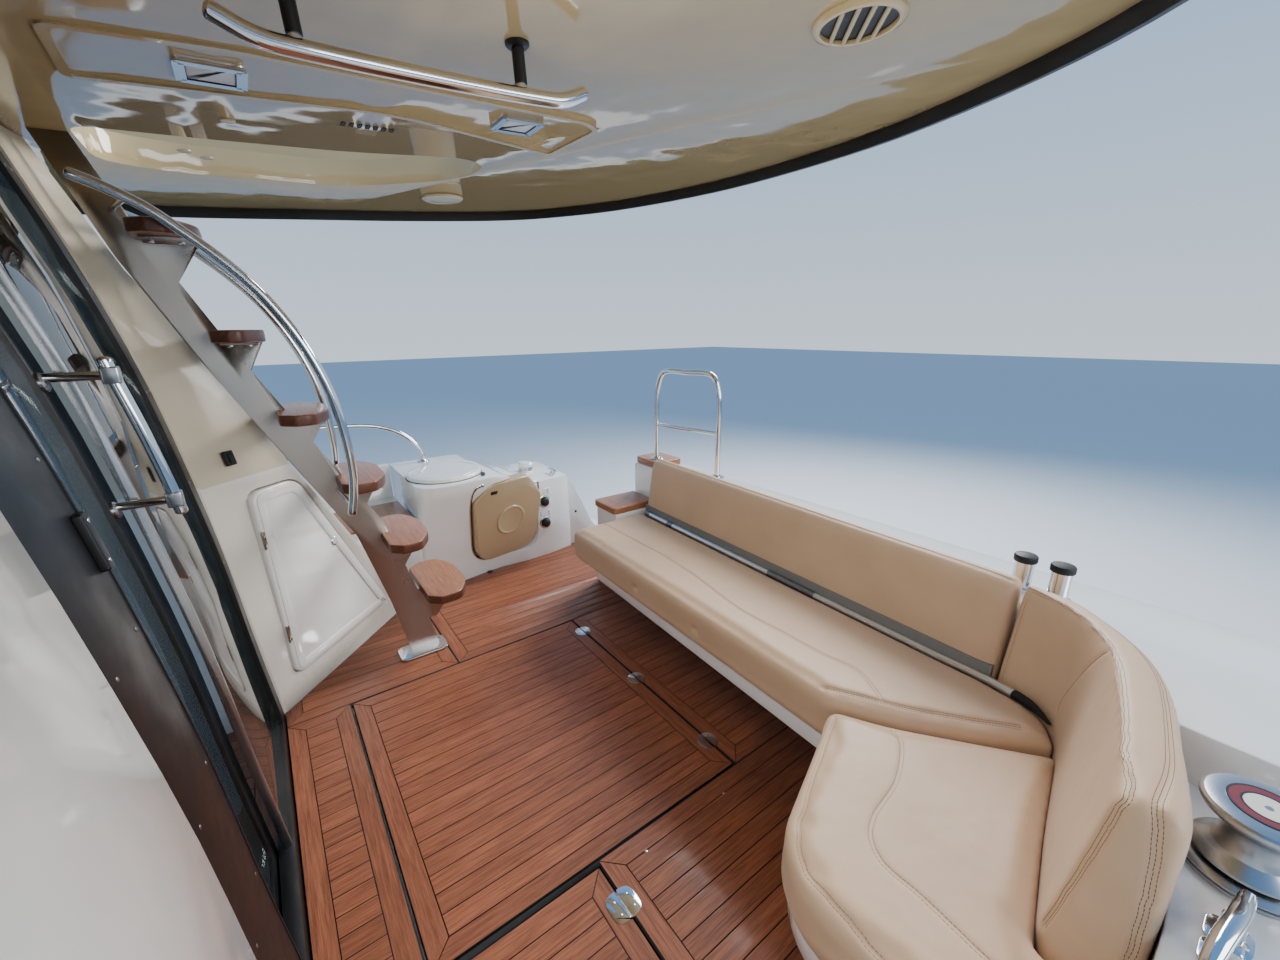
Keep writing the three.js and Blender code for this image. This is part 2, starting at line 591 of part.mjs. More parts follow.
// Rails on the quarters
const sideRails = [
  { name: 'side_rail_starboard', hand: 1, foot: cabinetTop },
  { name: 'side_rail_port', hand: -1, foot: quarterDeck },
];
for (const { name, hand, foot } of sideRails) {
  const x = hand * (halfBeam - 28);
  const rail = bar([
    [hand * 1835, -60, foot + 0.8], [hand * 1835, -60, foot + 50], [hand * 1850, 20, 1420], [x, 170, 1495],
    [x, 560, 1525], [x, 900, 1535], [x, 1150, 1538], [x, 1238, 1538],
  ], 14, 30);
  const post = (y, top) => bar([[x, y, 1255 + gap], [x, y, top]], 11, 1);
  piece(name, join([rail, post(560, 1524), post(1150, 1537)]), steel);
}
piece('hoop_rail', join([
  bar([[742, -1090, 1320.8], [742, -1090, 1500], [736, -1096, 1740], [700, -1104, 1812], [540, -1130, 1822],
    [372, -1158, 1812], [336, -1166, 1740], [330, -1170, 1500], [330, -1170, 1285.8]], 14, 40),
  bar([[742, -1092, 1520], [332, -1168, 1520]], 11, 2),
]), steel);

// Capstan on the port quarter, a mooring cleat and two rod holders; heights above their deck
const capstan = { x: -1615, y: -470 };
const onQuarter = (profile) => turned(
  profile.map(([radius, rise]) => [radius, quarterDeck + rise]), capstan.x, capstan.y);
piece('capstan_base', onQuarter([
  [0, gap], [82, gap], [82, 14], [58, 22], [22, 22], [22, 26.7], [0, 26.7],
]), steel);
piece('capstan_drum', onQuarter([
  [0, 27], [70, 27], [70, 35], [50, 46], [43, 70], [50, 98], [70, 114], [76, 122], [72, 130], [0, 134],
]), steel);
const cleatPost = (y) => block(-1630, -1600, y, y + 24, quarterDeck + gap, quarterDeck + 40);
piece('mooring_cleat', join([
  bar([[-1622, -370, 1206], [-1618, -320, 1212], [-1606, -240, 1212], [-1600, -190, 1206]], 13, 10),
  cleatPost(-318), cleatPost(-266),
]), steel);
const rodHolders = [{ name: 'rod_holder_inboard', x: -1090 }, { name: 'rod_holder_outboard', x: -1180 }];
for (const { name, x } of rodHolders) {
  piece(name, turned([
    [0, gap], [34, gap], [34, 6], [25, 9], [25, 87], [30, 89], [30, 107], [0, 111],
  ].map(([radius, rise]) => [radius, coamingTop + rise]), x, -1040, 20), steel);
}

// Flybridge overhang: a tilted moulding with a coaming, an opening over the stair and a black rim
const lift = Math.sin(-overhangTilt);
const overhangFore = (cutEnd - overhangTop * lift) / Math.cos(overhangTilt);
const rimAft = -cutEnd / Math.cos(overhangTilt);
function rimPlan() {
  const half = [
    [0, rimAft], [450, -1213], [900, -1060], [1200, -868], [1450, -585], [1630, -100], [1740, 380],
    [1830, 800], [1880, overhangFore],
  ].map(([x, y]) => new THREE.Vector2(x, y));
  const mirror = half.slice(1).map(({ x, y }) => new THREE.Vector2(-x, y)).reverse();
  const reach = 400;
  const run = new THREE.SplineCurve([...mirror, ...half]).getPoints(64);
  return [new THREE.Vector2(-1880, overhangFore + reach), ...run, new THREE.Vector2(1880, overhangFore + reach)];
}
const beyondCut = block(-2000, 2000, overhangFore, overhangFore + 900, -100, 600);
const trim = { thick: 16, height: 60 };
function overhangBody() {
  const rings = [
    [rimDrop, trim.thick + gap], [trim.height + gap, trim.thick + gap], [trim.height + 2 * gap, 0], [130, 0],
    [285, 45], [318, 58], [overhangTop, 78],
  ];
  const shell = lofted(rings.map(([z, inset]) => grown(rimPlan(), -inset).map(({ x, y }) => [x, y, z])));
  const pocket = upright(grown(rimPlan(), -140), overhangDeck, overhangTop + 40);
  const well = upright(outline([
    [700, 1000, 60], [690, 710, 100], [650, 310, 100], [560, -50, 90], [620, -150, 60], [760, -160, 80],
    [900, -90, 120], [1160, 240, 140], [1160, 800, 100], [1080, 1000, 120],
  ]), 0, overhangTop + 40);
  return shell.subtract(pocket).subtract(well).subtract(beyondCut);
}
piece('flybridge_overhang', overhangBody(), cream, overhang);
piece('overhang_rim', upright(rimPlan(), 0, trim.height)
  .subtract(upright(grown(rimPlan(), -trim.thick), -10, trim.height + 10)).subtract(beyondCut), black, overhang);
const underside = rimDrop - gap;
piece('ceiling_grab_rail', join([
  bar([
    [-310, 665, -22], [-310, 610, -44], [-310, 540, -50], [-310, 100, -50], [-310, 20, -44], [-310, -35, -22],
  ], 16, 26),
  block(-322, -298, 530, 570, -50, underside),
  block(-322, -298, 105, 145, -50, underside),
]), steel, overhang);
const lamps = [{ name: 'ceiling_light_fore', y: 665 }, { name: 'ceiling_light_aft', y: -80 }];
for (const { name, y } of lamps) {
  piece(name, upright(plate(95, 215, y - 65, y + 65, 8), rimDrop - 8, underside), satin, overhang);
}
const speakers = [
  { name: 'speaker_port', x: -750, y: -460, skin: black },
  { name: 'speaker_starboard', x: 1230, y: -170, skin: tan },
];
for (const { name, x, y, skin: finish } of speakers) {
  const dish = [[0, rimDrop - 14], [70, rimDrop - 14], [92, rimDrop - 6], [96, underside], [0, underside]];
  piece(name, turned(dish, x, y), finish, overhang);
}

export default yacht;
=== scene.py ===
"""Aft cockpit section of a motor yacht: its looks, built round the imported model.

Metres. X is to starboard, Y is forward, Z is up, and Z = 0 is the flat bottom of the section.
"""
import math

import bpy
import numpy as np
from mathutils import Matrix, Vector
from mathutils.bvhtree import BVHTree
from mathutils.kdtree import KDTree


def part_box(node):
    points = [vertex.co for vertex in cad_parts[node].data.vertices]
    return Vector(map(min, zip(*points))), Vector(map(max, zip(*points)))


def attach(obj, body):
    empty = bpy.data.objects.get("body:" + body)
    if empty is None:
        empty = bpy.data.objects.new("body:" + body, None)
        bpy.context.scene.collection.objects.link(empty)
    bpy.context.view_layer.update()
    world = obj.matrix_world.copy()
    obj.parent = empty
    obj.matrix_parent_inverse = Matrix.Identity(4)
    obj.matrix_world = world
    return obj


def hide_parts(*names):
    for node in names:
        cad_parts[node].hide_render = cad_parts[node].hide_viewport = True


bl_info = {
    "name": "Yacht cockpit section",
    "version": (1, 0, 0),
    "blender": (4, 5, 0),
    "location": "3D View > Sidebar > Cockpit",
    "description": "Builds the deck, sofa, stair, bulkhead, fittings and overhang of an aft cockpit",
    "category": "Add Mesh",
}

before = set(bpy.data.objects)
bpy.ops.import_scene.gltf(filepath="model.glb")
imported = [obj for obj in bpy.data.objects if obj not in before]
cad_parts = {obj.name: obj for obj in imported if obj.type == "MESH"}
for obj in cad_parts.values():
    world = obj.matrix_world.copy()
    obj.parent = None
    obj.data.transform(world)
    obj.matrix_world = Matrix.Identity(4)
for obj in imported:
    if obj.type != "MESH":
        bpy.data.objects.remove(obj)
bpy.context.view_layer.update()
MM = 0.001


def linear(code):
    """An sRGB hex code as linear red, green and blue: the standard's straight foot and its power 2.4."""
    value = np.array([int(code[i:i + 2], 16) for i in (1, 3, 5)]) / 255
    return tuple(float(v) for v in np.where(value <= 0.04045, value / 12.92,
                                            ((value + 0.055) / 1.055) ** 2.4))


def colour(name, description, code):
    return bpy.props.FloatVectorProperty(
        name=name, description=description, subtype="COLOR", size=3, min=0, max=1, default=linear(code))


def length(name, description, default):
    return bpy.props.FloatProperty(name=name, description=description, default=default, min=0, unit="LENGTH")


class CockpitColours(bpy.types.PropertyGroup):
    """Colours that a user would change"""
    gelcoat: colour("Gelcoat", "White moulded surfaces", "#EDEBE5")
    ceiling: colour("Ceiling", "Cream overhang", "#C6AE7E")
    beige: colour("Beige", "Service hatch and starboard speaker", "#B59D78")
    deck_light: colour("Deck, light grain", "Pale streaks of the oiled deck", "#AD6948")
    deck_dark: colour("Deck, dark grain", "Dark streaks of the oiled deck", "#5E2F1C")
    step_light: colour("Steps, light grain", "Pale streaks of the varnished steps", "#B67F5A")
    step_dark: colour("Steps, dark grain", "Dark streaks of the varnished steps", "#7F4629")
    leather: colour("Upholstery", "Sofa covers", "#C9A582")
    thread: colour("Thread", "Stitching", "#6E5039")


class DeckSizes(bpy.types.PropertyGroup):
    """Sizes of the laid deck"""
    pitch: length("Plank pitch", "From one seam to the next", 0.0587)
    seam: length("Seam", "Width of the black caulking", 0.0028)
    border: length("Border", "Width of the mitred border planks", 0.056)
    proud: length("Proud", "Height of the teak above its caulking", 0.0012)


class SofaSizes(bpy.types.PropertyGroup):
    """Sizes of the upholstery"""
    stitch: length("Stitch", "Length of one stitch and its gap", 0.0075)
    thread: length("Thread", "Diameter of the thread", 0.0010)
    rows: length("Rows", "Distance between rows of stitches", 0.0055)
    voxel: length("Voxel", "Grid of the cloth simulation's mesh", 0.0095)
    swell: length("Swell", "Most that a cover may rise in the simulation", 0.012)


# Materials


def feed(node, inputs):
    """Sets a node's sockets to values, or links them to outputs. A node stands for its first output."""
    for key, value in inputs.items():
        if isinstance(value, bpy.types.Node):
            value = value.outputs[0]
        if isinstance(value, bpy.types.NodeSocket):
            node.id_data.links.new(value, node.inputs[key])
        else:
            node.inputs[key].default_value = value


def add(tree, kind, settings=(), inputs=()):
    """Adds a node. Settings are its attributes; inputs are what it is fed with."""
    made = tree.nodes.new(kind)
    for key, value in dict(settings).items():
        setattr(made, key, value)
    feed(made, dict(inputs))
    return made


def blank(name, values):
    """A material with its shader, whose plain values are set on the shader's own sockets."""
    material = bpy.data.materials.new(name)
    material.use_nodes = True
    tree = material.node_tree
    shader = tree.nodes["Principled BSDF"]
    feed(shader, values)
    return material, tree, shader


def rgba(tint):
    return (*tint, 1.0)


def shade(tint, factor):
    return tuple(min(1.0, channel * factor) for channel in tint)


def gelcoat(name, tint, ripple, roughness, coat=0.6):
    """Moulded polyester gelcoat, polished: wet gloss over long mould waves, a little chalking in patches."""
    material, tree, shader = blank(name, {"Roughness": roughness, "IOR": 1.52, "Coat Weight": coat,
                                          "Coat Roughness": 0.04})
    place = add(tree, "ShaderNodeTexCoord").outputs["Object"]
    # Patches of chalking about 300 mm across
    patch = add(tree, "ShaderNodeTexNoise", inputs={"Vector": place, "Scale": 3.2, "Detail": 4.0})
    worn = add(tree, "ShaderNodeMapRange", inputs={0: patch, 1: 0.35, 2: 0.72, 3: 0.0, 4: 1.0})
    mixed = add(tree, "ShaderNodeMix", {"data_type": "RGBA"},
                {0: worn, 6: rgba(tint), 7: rgba(shade(tint, 0.94))})
    gloss = add(tree, "ShaderNodeMapRange", inputs={0: patch, 3: roughness * 0.7, 4: roughness * 1.5})
    # Mould waves about 200 mm long, which bend the reflections
    wave = add(tree, "ShaderNodeTexNoise", inputs={"Vector": place, "Scale": 4.6, "Detail": 1.5})
    bump = add(tree, "ShaderNodeBump", inputs={"Height": wave, "Strength": 1.0, "Distance": ripple})
    feed(shader, {"Base Color": mixed.outputs[2], "Roughness": gloss, "Normal": bump, "Coat Normal": bump})
    return material


def teak(name, light, dark, roughness, coat):
    """Sawn teak: long streaks along the plank, short dark pores and a tone of its own for each plank.

    The map "grain" runs along the plank in metres, and "tone" holds one random number for each plank."""
    material, tree, shader = blank(name, {"IOR": 1.45, "Coat Weight": coat, "Coat Roughness": 0.15})
    along = add(tree, "ShaderNodeUVMap", {"uv_map": "grain"})
    tone = add(tree, "ShaderNodeAttribute", {"attribute_name": "tone"})
    # Streaks 4 mm apart and 250 mm long, drawn coarser than real teak's so that they show
    streak_place = add(tree, "ShaderNodeMapping", inputs={"Vector": along, "Scale": (4.0, 240.0, 1.0)})
    streak = add(tree, "ShaderNodeTexNoise", {"noise_dimensions": "4D"},
                 {"Vector": streak_place, "W": tone.outputs["Fac"], "Detail": 5.0, "Roughness": 0.62})
    figure_place = add(tree, "ShaderNodeMapping", inputs={"Vector": along, "Scale": (1.4, 30.0, 1.0)})
    figure = add(tree, "ShaderNodeTexNoise", {"noise_dimensions": "4D"},
                 {"Vector": figure_place, "W": tone.outputs["Fac"], "Detail": 3.0, "Distortion": 0.7})
    pore_place = add(tree, "ShaderNodeMapping", inputs={"Vector": along, "Scale": (60.0, 1100.0, 1.0)})
    pore = add(tree, "ShaderNodeTexNoise", inputs={"Vector": pore_place, "Detail": 2.0})
    both = add(tree, "ShaderNodeMath", {"operation": "MULTIPLY_ADD"},
               {0: figure, 1: 0.75, 2: streak})
    share = add(tree, "ShaderNodeMapRange", inputs={0: both, 1: 0.62, 2: 1.12})
    grain = add(tree, "ShaderNodeMix", {"data_type": "RGBA"},
                {0: share, 6: rgba(dark), 7: rgba(light)})
    dots = add(tree, "ShaderNodeMapRange", inputs={0: pore, 1: 0.60, 2: 0.70, 3: 0.0, 4: 0.55})
    pitted = add(tree, "ShaderNodeMix", {"data_type": "RGBA"},
                 {0: dots, 6: grain.outputs[2], 7: rgba(shade(dark, 0.45))})
    lift = add(tree, "ShaderNodeMapRange", inputs={0: tone.outputs["Fac"], 2: 10.0, 3: 0.88, 4: 1.12})
    toned = add(tree, "ShaderNodeHueSaturation", inputs={"Value": lift, "Color": pitted.outputs[2]})
    dull = add(tree, "ShaderNodeMapRange",
               inputs={0: streak, 3: roughness * 1.2, 4: roughness * 0.8})
    bump = add(tree, "ShaderNodeBump", inputs={"Height": both, "Strength": 0.35, "Distance": 0.0006})
    feed(shader, {"Base Color": toned, "Roughness": dull, "Normal": bump})
    return material


def leatherette(name, tint):
    """Embossed vinyl cover: a pebble grain, a soft sheen, and shine where people sit."""
    material, tree, shader = blank(name, {"IOR": 1.5, "Sheen Weight": 0.12, "Sheen Roughness": 0.5})
    place = add(tree, "ShaderNodeTexCoord").outputs["Object"]
    # Pebbles 2.2 mm across, drawn about twice the real size so that they show
    pebble = add(tree, "ShaderNodeTexVoronoi", {"feature": "DISTANCE_TO_EDGE"},
                 {"Vector": place, "Scale": 450.0})
    soft = add(tree, "ShaderNodeMapRange", inputs={0: pebble, 2: 0.16})
    patch = add(tree, "ShaderNodeTexNoise", inputs={"Vector": place, "Scale": 4.5, "Detail": 5.0})
    share = add(tree, "ShaderNodeMapRange", inputs={0: patch, 1: 0.3, 2: 0.72})
    mixed = add(tree, "ShaderNodeMix", {"data_type": "RGBA"},
                {0: share, 6: rgba(shade(tint, 0.90)), 7: rgba(shade(tint, 1.04))})
    gloss = add(tree, "ShaderNodeMapRange", inputs={0: patch, 1: 0.3, 2: 0.7, 3: 0.40, 4: 0.56})
    crease = add(tree, "ShaderNodeTexNoise", inputs={"Vector": place, "Scale": 14.0, "Detail": 2.0})
    wide = add(tree, "ShaderNodeBump", inputs={"Height": crease, "Strength": 0.5, "Distance": 0.004})
    fine = add(tree, "ShaderNodeBump", inputs={"Height": soft, "Strength": 0.45, "Distance": 0.0002,
                                               "Normal": wide})
    feed(shader, {"Base Color": mixed.outputs[2], "Roughness": gloss, "Normal": fine})
    return material


def metal(name, code, roughness, streaks):
    """Steel or aluminium: streaks are the scratches of brushing, across X and Y; 0 is mirror polish."""
    material, tree, shader = blank(name, {"Metallic": 1.0, "Base Color": rgba(linear(code))})
    place = add(tree, "ShaderNodeTexCoord").outputs["Object"]
    smear = add(tree, "ShaderNodeTexNoise", inputs={"Vector": place, "Scale": 5.0, "Detail": 2.0})
    gloss = add(tree, "ShaderNodeMapRange", inputs={0: smear, 1: 0.3, 2: 0.7, 3: roughness * 0.85,
                                                    4: roughness * 1.2})
    stretch = add(tree, "ShaderNodeMapping", inputs={"Vector": place, "Scale": (9.0, 9.0, 900.0)})
    scratch = add(tree, "ShaderNodeTexNoise", inputs={"Vector": stretch, "Detail": 2.0})
    bump = add(tree, "ShaderNodeBump", inputs={"Height": scratch, "Strength": 0.05 + streaks,
                                               "Distance": 0.00005})
    feed(shader, {"Roughness": gloss, "Normal": bump})
    return material


def dull(name, tint, roughness, coat):
    """Black powder coat, rubber or moulded plastic: a fine stipple and finger marks in the gloss."""
    material, tree, shader = blank(name, {"Base Color": rgba(tint), "Coat Weight": coat,
                                          "Coat Roughness": 0.2})
    place = add(tree, "ShaderNodeTexCoord").outputs["Object"]
    smear = add(tree, "ShaderNodeTexNoise", inputs={"Vector": place, "Scale": 9.0, "Detail": 5.0})
    gloss = add(tree, "ShaderNodeMapRange", inputs={0: smear, 1: 0.3, 2: 0.7, 3: roughness * 0.8,
                                                    4: roughness * 1.3})
    stipple = add(tree, "ShaderNodeTexNoise", inputs={"Vector": place, "Scale": 600.0, "Detail": 1.0})
    bump = add(tree, "ShaderNodeBump", inputs={"Height": stipple, "Strength": 0.2, "Distance": 0.0002})
    feed(shader, {"Roughness": gloss, "Normal": bump})
    return material


def tinted_glass(name):
    """Toughened solar glass, float made: dark body tint, and a mirror coat that reflects about a fifth."""
    material, tree, shader = blank(name, {"Base Color": rgba(linear("#6C7472")), "Roughness": 0.02,
                                          "IOR": 2.3, "Transmission Weight": 0.9})
    place = add(tree, "ShaderNodeTexCoord").outputs["Object"]
    wave = add(tree, "ShaderNodeTexNoise", inputs={"Vector": place, "Scale": 2.5, "Detail": 1.0})
    bump = add(tree, "ShaderNodeBump", inputs={"Height": wave, "Strength": 0.6, "Distance": 0.002})
    feed(shader, {"Normal": bump})
    return material


def make_materials(hues):
    """Every finish of the section, by its plain name."""
    return {
        "gelcoat": gelcoat("gelcoat_white_moulded", hues.gelcoat, 0.0035, 0.12),
        "ceiling": gelcoat("gelcoat_cream_moulded", hues.ceiling, 0.007, 0.07, 0.35),
        "beige": gelcoat("gelcoat_beige_moulded", hues.beige, 0.004, 0.10),
        "deck": teak("teak_deck_oiled", hues.deck_light, hues.deck_dark, 0.5, 0.08),
        "step": teak("teak_step_varnished", hues.step_light, hues.step_dark, 0.36, 0.25),
        # Darker copy of the step teak for the treads' sides: painted shade
        "step_side_shade": teak("teak_edge_oiled", linear("#6A3B26"), linear("#3A1E12"), 0.42, 0.15),
        "leather": leatherette("leatherette_embossed", hues.leather),
        "thread": dull("thread_polyester_spun", hues.thread, 0.7, 0.0),
        "chrome": metal("stainless_steel_polished", "#D9DADB", 0.09, 0.0),
        "pale": gelcoat("gelcoat_pale_moulded", linear("#DDD7CA"), 0.003, 0.26, 0.15),
        "wing": gelcoat("gelcoat_wing_satin", linear("#C9BCA2"), 0.003, 0.32, 0.1),
        "rail": metal("stainless_steel_rail_satin", "#EDEDEC", 0.36, 0.0),
        "sleeve": metal("stainless_steel_sleeve_brushed", "#8F9092", 0.34, 0.3),
        # Grey of the strip in the gap behind the seat tube: painted shade of that gap
        "channel": dull("painted_gap_shade_grey", linear("#77756F"), 0.5, 0.0),
        "satin": metal("stainless_steel_brushed", "#A8A29B", 0.30, 0.25),
        "alloy": metal("aluminium_anodised", "#B4B6B8", 0.26, 0.1),
        "frame": dull("aluminium_powder_coated_black", linear("#060607"), 0.42, 0.08),
        "rubber": dull("rubber_moulded_black", linear("#0D0D0E"), 0.5, 0.0),
        "caulk": dull("polyurethane_caulk_black", linear("#0B0A0A"), 0.65, 0.0),
        "glass": tinted_glass("glass_solar_float"),
        "red": dull("enamel_red_baked", linear("#6E1F28"), 0.45, 0.1),
        "lens": gelcoat("acrylic_lens_frosted", linear("#E8EEF2"), 0.001, 0.5, 0.0),
    }


finish = {}

# Shapes: each one is (points, faces), with the points as an array


# Most of an edge that the curve at its corner takes up
CORNER_SHARE = 0.48


def unit(vectors):
    return vectors / np.maximum(np.linalg.norm(vectors, axis=-1, keepdims=True), 1e-12)


def quadratic(start, corner, end, steps):
    """Points of b(t) = (1-t)^2 start + 2t(1-t) corner + t^2 end."""
    t = np.linspace(0, 1, steps + 1)[:, None]
    return (1 - t) ** 2 * start + 2 * t * (1 - t) * corner + t ** 2 * end


def outline(corners, steps=8):
    """A polygon in millimetres, [x, y, radius] a corner, as metres and counter-clockwise."""
    corner = np.array([(*c, 0.0)[:3] for c in corners], float)
    here, radius = corner[:, :2], corner[:, 2]
    points = []
    for i, point in enumerate(here):
        back, ahead = here[i - 1] - point, here[(i + 1) % len(here)] - point
        if not radius[i]:
            points.append(point[None])
            continue
        reach = min(radius[i], *(CORNER_SHARE * np.linalg.norm(leg) for leg in (back, ahead)))
        points.append(quadratic(point + unit(back) * reach, point, point + unit(ahead) * reach, steps))
    ring = np.concatenate(points) * MM
    keep = np.linalg.norm(ring - np.roll(ring, -1, 0), axis=1) > 0.0005
    ring = ring[keep]
    return ring if area(ring) > 0 else ring[::-1]


def card(left, right, low, high, radius, steps=8):
    """Rectangle in millimetres with rounded corners."""
    spots = ((left, low), (right, low), (right, high), (left, high))
    return outline([(*spot, radius) for spot in spots], steps)


def area(ring):
    """Signed area: half the sum of the cross products of neighbouring corners."""
    x, y = ring.T
    return 0.5 * float(np.sum(x * np.roll(y, -1) - y * np.roll(x, -1)))


def grown(ring, distance):
    """Each edge of a counter-clockwise polygon moved outwards: every corner goes along its mean normal."""
    a, b = unit(ring - np.roll(ring, 1, 0)), unit(np.roll(ring, -1, 0) - ring)
    normal = unit(np.stack([a[:, 1] + b[:, 1], -a[:, 0] - b[:, 0]], 1))
    stretch = np.maximum(0.5, np.sum(normal * np.stack([a[:, 1], -a[:, 0]], 1), 1))
    return ring + normal * (distance / stretch)[:, None]


def stacked(rings, closed=True, caps=True):
    """Skin over rings, shape (levels, count, 3): quads between the levels, and a flat cap at each end."""
    rings = np.asarray(rings, float)
    levels, count = rings.shape[:2]
    i, j = np.meshgrid(np.arange(levels - 1), np.arange(count if closed else count - 1), indexing="ij")
    a, b = i * count + j, i * count + (j + 1) % count
    faces = np.stack([a, b, b + count, a + count], -1).reshape(-1, 4).tolist()
    if caps:
        faces.append(list(range(count))[::-1])
        faces.append([(levels - 1) * count + k for k in range(count)])
    return rings.reshape(-1, 3), faces


def rounded(depth, radius, steps=4):
    """Levels of a slab with quarter-round edges: height = r(1 - cos a) and inset = r(1 - sin a)."""
    turn = np.linspace(0, math.pi / 2, steps + 1)
    foot = np.stack([radius * (1 - np.cos(turn)), radius * (1 - np.sin(turn))], 1)
    top = np.stack([depth - foot[::-1, 0], foot[::-1, 1]], 1)
    return np.concatenate([foot, top])


UPRIGHT = Matrix.Identity(4)


def slab(ring, low, high, radius=0.0, steps=4, place=UPRIGHT):
    """A flat outline given thickness and quarter-round edges, laid by the matrix."""
    levels = rounded(high - low, radius, steps) if radius else np.array([[0, 0], [high - low, 0]])
    rings = [np.column_stack([grown(ring, -inset), np.full(len(ring), low + height)])
             for height, inset in levels]
    points, faces = stacked(rings)
    return laid(points, place), faces


def laid(points, place):
    turn = np.array(place, float)
    return np.asarray(points, float) @ turn[:3, :3].T + turn[:3, 3]


def plane(origin, along, up):
    """Matrix of a plane in millimetres: u along, n = along x up outwards, v = n x u."""
    u = Vector(along).normalized()
    n = u.cross(Vector(up)).normalized()
    v = n.cross(u)
    basis = Matrix((u, v, n)).transposed().to_4x4()
    return Matrix.Translation(Vector(origin) * MM) @ basis


def circle(radius, count=32, centre=(0.0, 0.0)):
    turn = np.linspace(0, 2 * math.pi, count, endpoint=False)
    return np.stack([centre[0] + radius * np.cos(turn), centre[1] + radius * np.sin(turn)], 1)


def spline(points, count):
    """Centripetal Catmull-Rom line through points in millimetres, as metres, evenly spaced."""
    p = np.array(points, float) * MM
    if len(p) == 2:
        return p[0] + np.linspace(0, 1, count)[:, None] * (p[1] - p[0])
    p = np.concatenate([[2 * p[0] - p[1]], p, [2 * p[-1] - p[-2]]])
    knots = np.concatenate([[0], np.cumsum(np.sqrt(np.linalg.norm(np.diff(p, axis=0), axis=1)))])
    dense = np.linspace(knots[1], knots[-2], 24 * len(p))
    k = np.clip(np.searchsorted(knots, dense, "right") - 1, 1, len(p) - 3)

    def lerp(a, b, ta, tb):
        return a + (b - a) * ((dense - ta) / (tb - ta))[:, None]
    t0, t1, t2, t3 = (knots[k + shift] for shift in (-1, 0, 1, 2))
    a1, a2, a3 = (lerp(p[k + s], p[k + s + 1], knots[k + s], knots[k + s + 1]) for s in (-1, 0, 1))
    line = lerp(lerp(a1, a2, t0, t2), lerp(a2, a3, t1, t3), t1, t2)
    return even(line, count)


def even(line, count):
    """The same line with its points spaced evenly along its length."""
    walked = np.concatenate([[0], np.cumsum(np.linalg.norm(np.diff(line, axis=0), axis=1))])
    at = np.linspace(0, walked[-1], count)
    return np.stack([np.interp(at, walked, line[:, axis]) for axis in range(line.shape[1])], 1)


def frames(path):
    """Tangent and two normals at each point; the normals are carried along without twist."""
    tangent = unit(np.gradient(path, axis=0))
    start = np.cross(tangent[0], [0.0, 0.0, 1.0])
    if np.linalg.norm(start) < 0.1:
        start = np.cross(tangent[0], [0.0, 1.0, 0.0])
    side = [unit(start)]
    for step in tangent[1:]:
        last = side[-1]
        side.append(unit(last - step * np.dot(last, step)))
    side = np.array(side)
    return tangent, side, np.cross(tangent, side)


def tube(path, radius, sides=20, dome=True):
    """Circles of the radius carried along the path; a dome shrinks the last circles to close round ends."""
    path = np.asarray(path, float)
    radii = np.broadcast_to(np.asarray(radius, float), (len(path),)).copy()
    tangent, side, up = frames(path)
    if dome:
        turn = np.radians([15, 40, 65, 90])
        reach = 0.55 * np.sin(turn)[:, None]
        head = path[0] - tangent[0] * radii[0] * reach[::-1]
        tail = path[-1] + tangent[-1] * radii[-1] * reach
        small = np.maximum(np.cos(turn), 0.05)
        path = np.concatenate([head, path, tail])
        radii = np.concatenate([radii[0] * small[::-1], radii, radii[-1] * small])
        side = np.concatenate([np.repeat(side[:1], 4, 0), side, np.repeat(side[-1:], 4, 0)])
        up = np.concatenate([np.repeat(up[:1], 4, 0), up, np.repeat(up[-1:], 4, 0)])
    turn = np.linspace(0, 2 * math.pi, sides, endpoint=False)
    ring = np.cos(turn)[None, :, None] * side[:, None] + np.sin(turn)[None, :, None] * up[:, None]
    return stacked(path[:, None] + radii[:, None, None] * ring)


def rod(start, end, radius, sides=20):
    """A straight bar between two points in millimetres, with flat ends."""
    return tube(spline([start, end], 4), radius, sides, False)


def turned(profile, centre=(0.0, 0.0, 0.0), sides=48, place=UPRIGHT, ring=False):
    """Turned solid: a profile of [radius, height] in millimetres swept round an upright axis.

    A ring's profile is closed, and leaves the axis open."""
    p = np.array([*profile, profile[0]] if ring else profile, float) * MM
    turn = np.linspace(0, 2 * math.pi, sides, endpoint=False)
    radius, height = np.maximum(p[:, 0], 1e-5), p[:, 1]
    rings = np.stack([radius[:, None] * np.cos(turn), radius[:, None] * np.sin(turn),
                      np.repeat(height[:, None], sides, 1)], -1)
    points, faces = stacked(rings + np.array(centre) * MM, caps=not ring)
    return laid(points, place), faces


def block(x, y, z, radius=2.0):
    """A box between two corners in millimetres, with all its edges rounded."""
    return slab(card(*x, *y, radius, 4), z[0] * MM, z[1] * MM, radius * MM * 0.8, 3)


def joined(shapes):
    points, faces, start = [], [], 0
    for part_points, part_faces in shapes:
        points.append(part_points)
        faces += [[k + start for k in face] for face in part_faces]
        start += len(part_points)
    return np.concatenate(points), faces


def volume(points, faces):
    """Signed volume of a closed skin: one sixth of the sum of each fan triangle's a . (b x c)."""
    triangles = np.array([(f[0], f[k], f[k + 1]) for f in faces for k in range(1, len(f) - 1)])
    a, b, c = points[triangles[:, 0]], points[triangles[:, 1]], points[triangles[:, 2]]
    return float(np.sum(a * np.cross(b, c))) / 6


def facing_out(shape):
    points, faces = shape
    return (points, faces) if volume(points, faces) > 0 else (points, [face[::-1] for face in faces])


def mesh_of(name, shape):
    points, faces = shape
    mesh = bpy.data.meshes.new(name)
    mesh.from_pydata(np.asarray(points).tolist(), [], faces)
    mesh.validate()
    mesh.update()
    return mesh


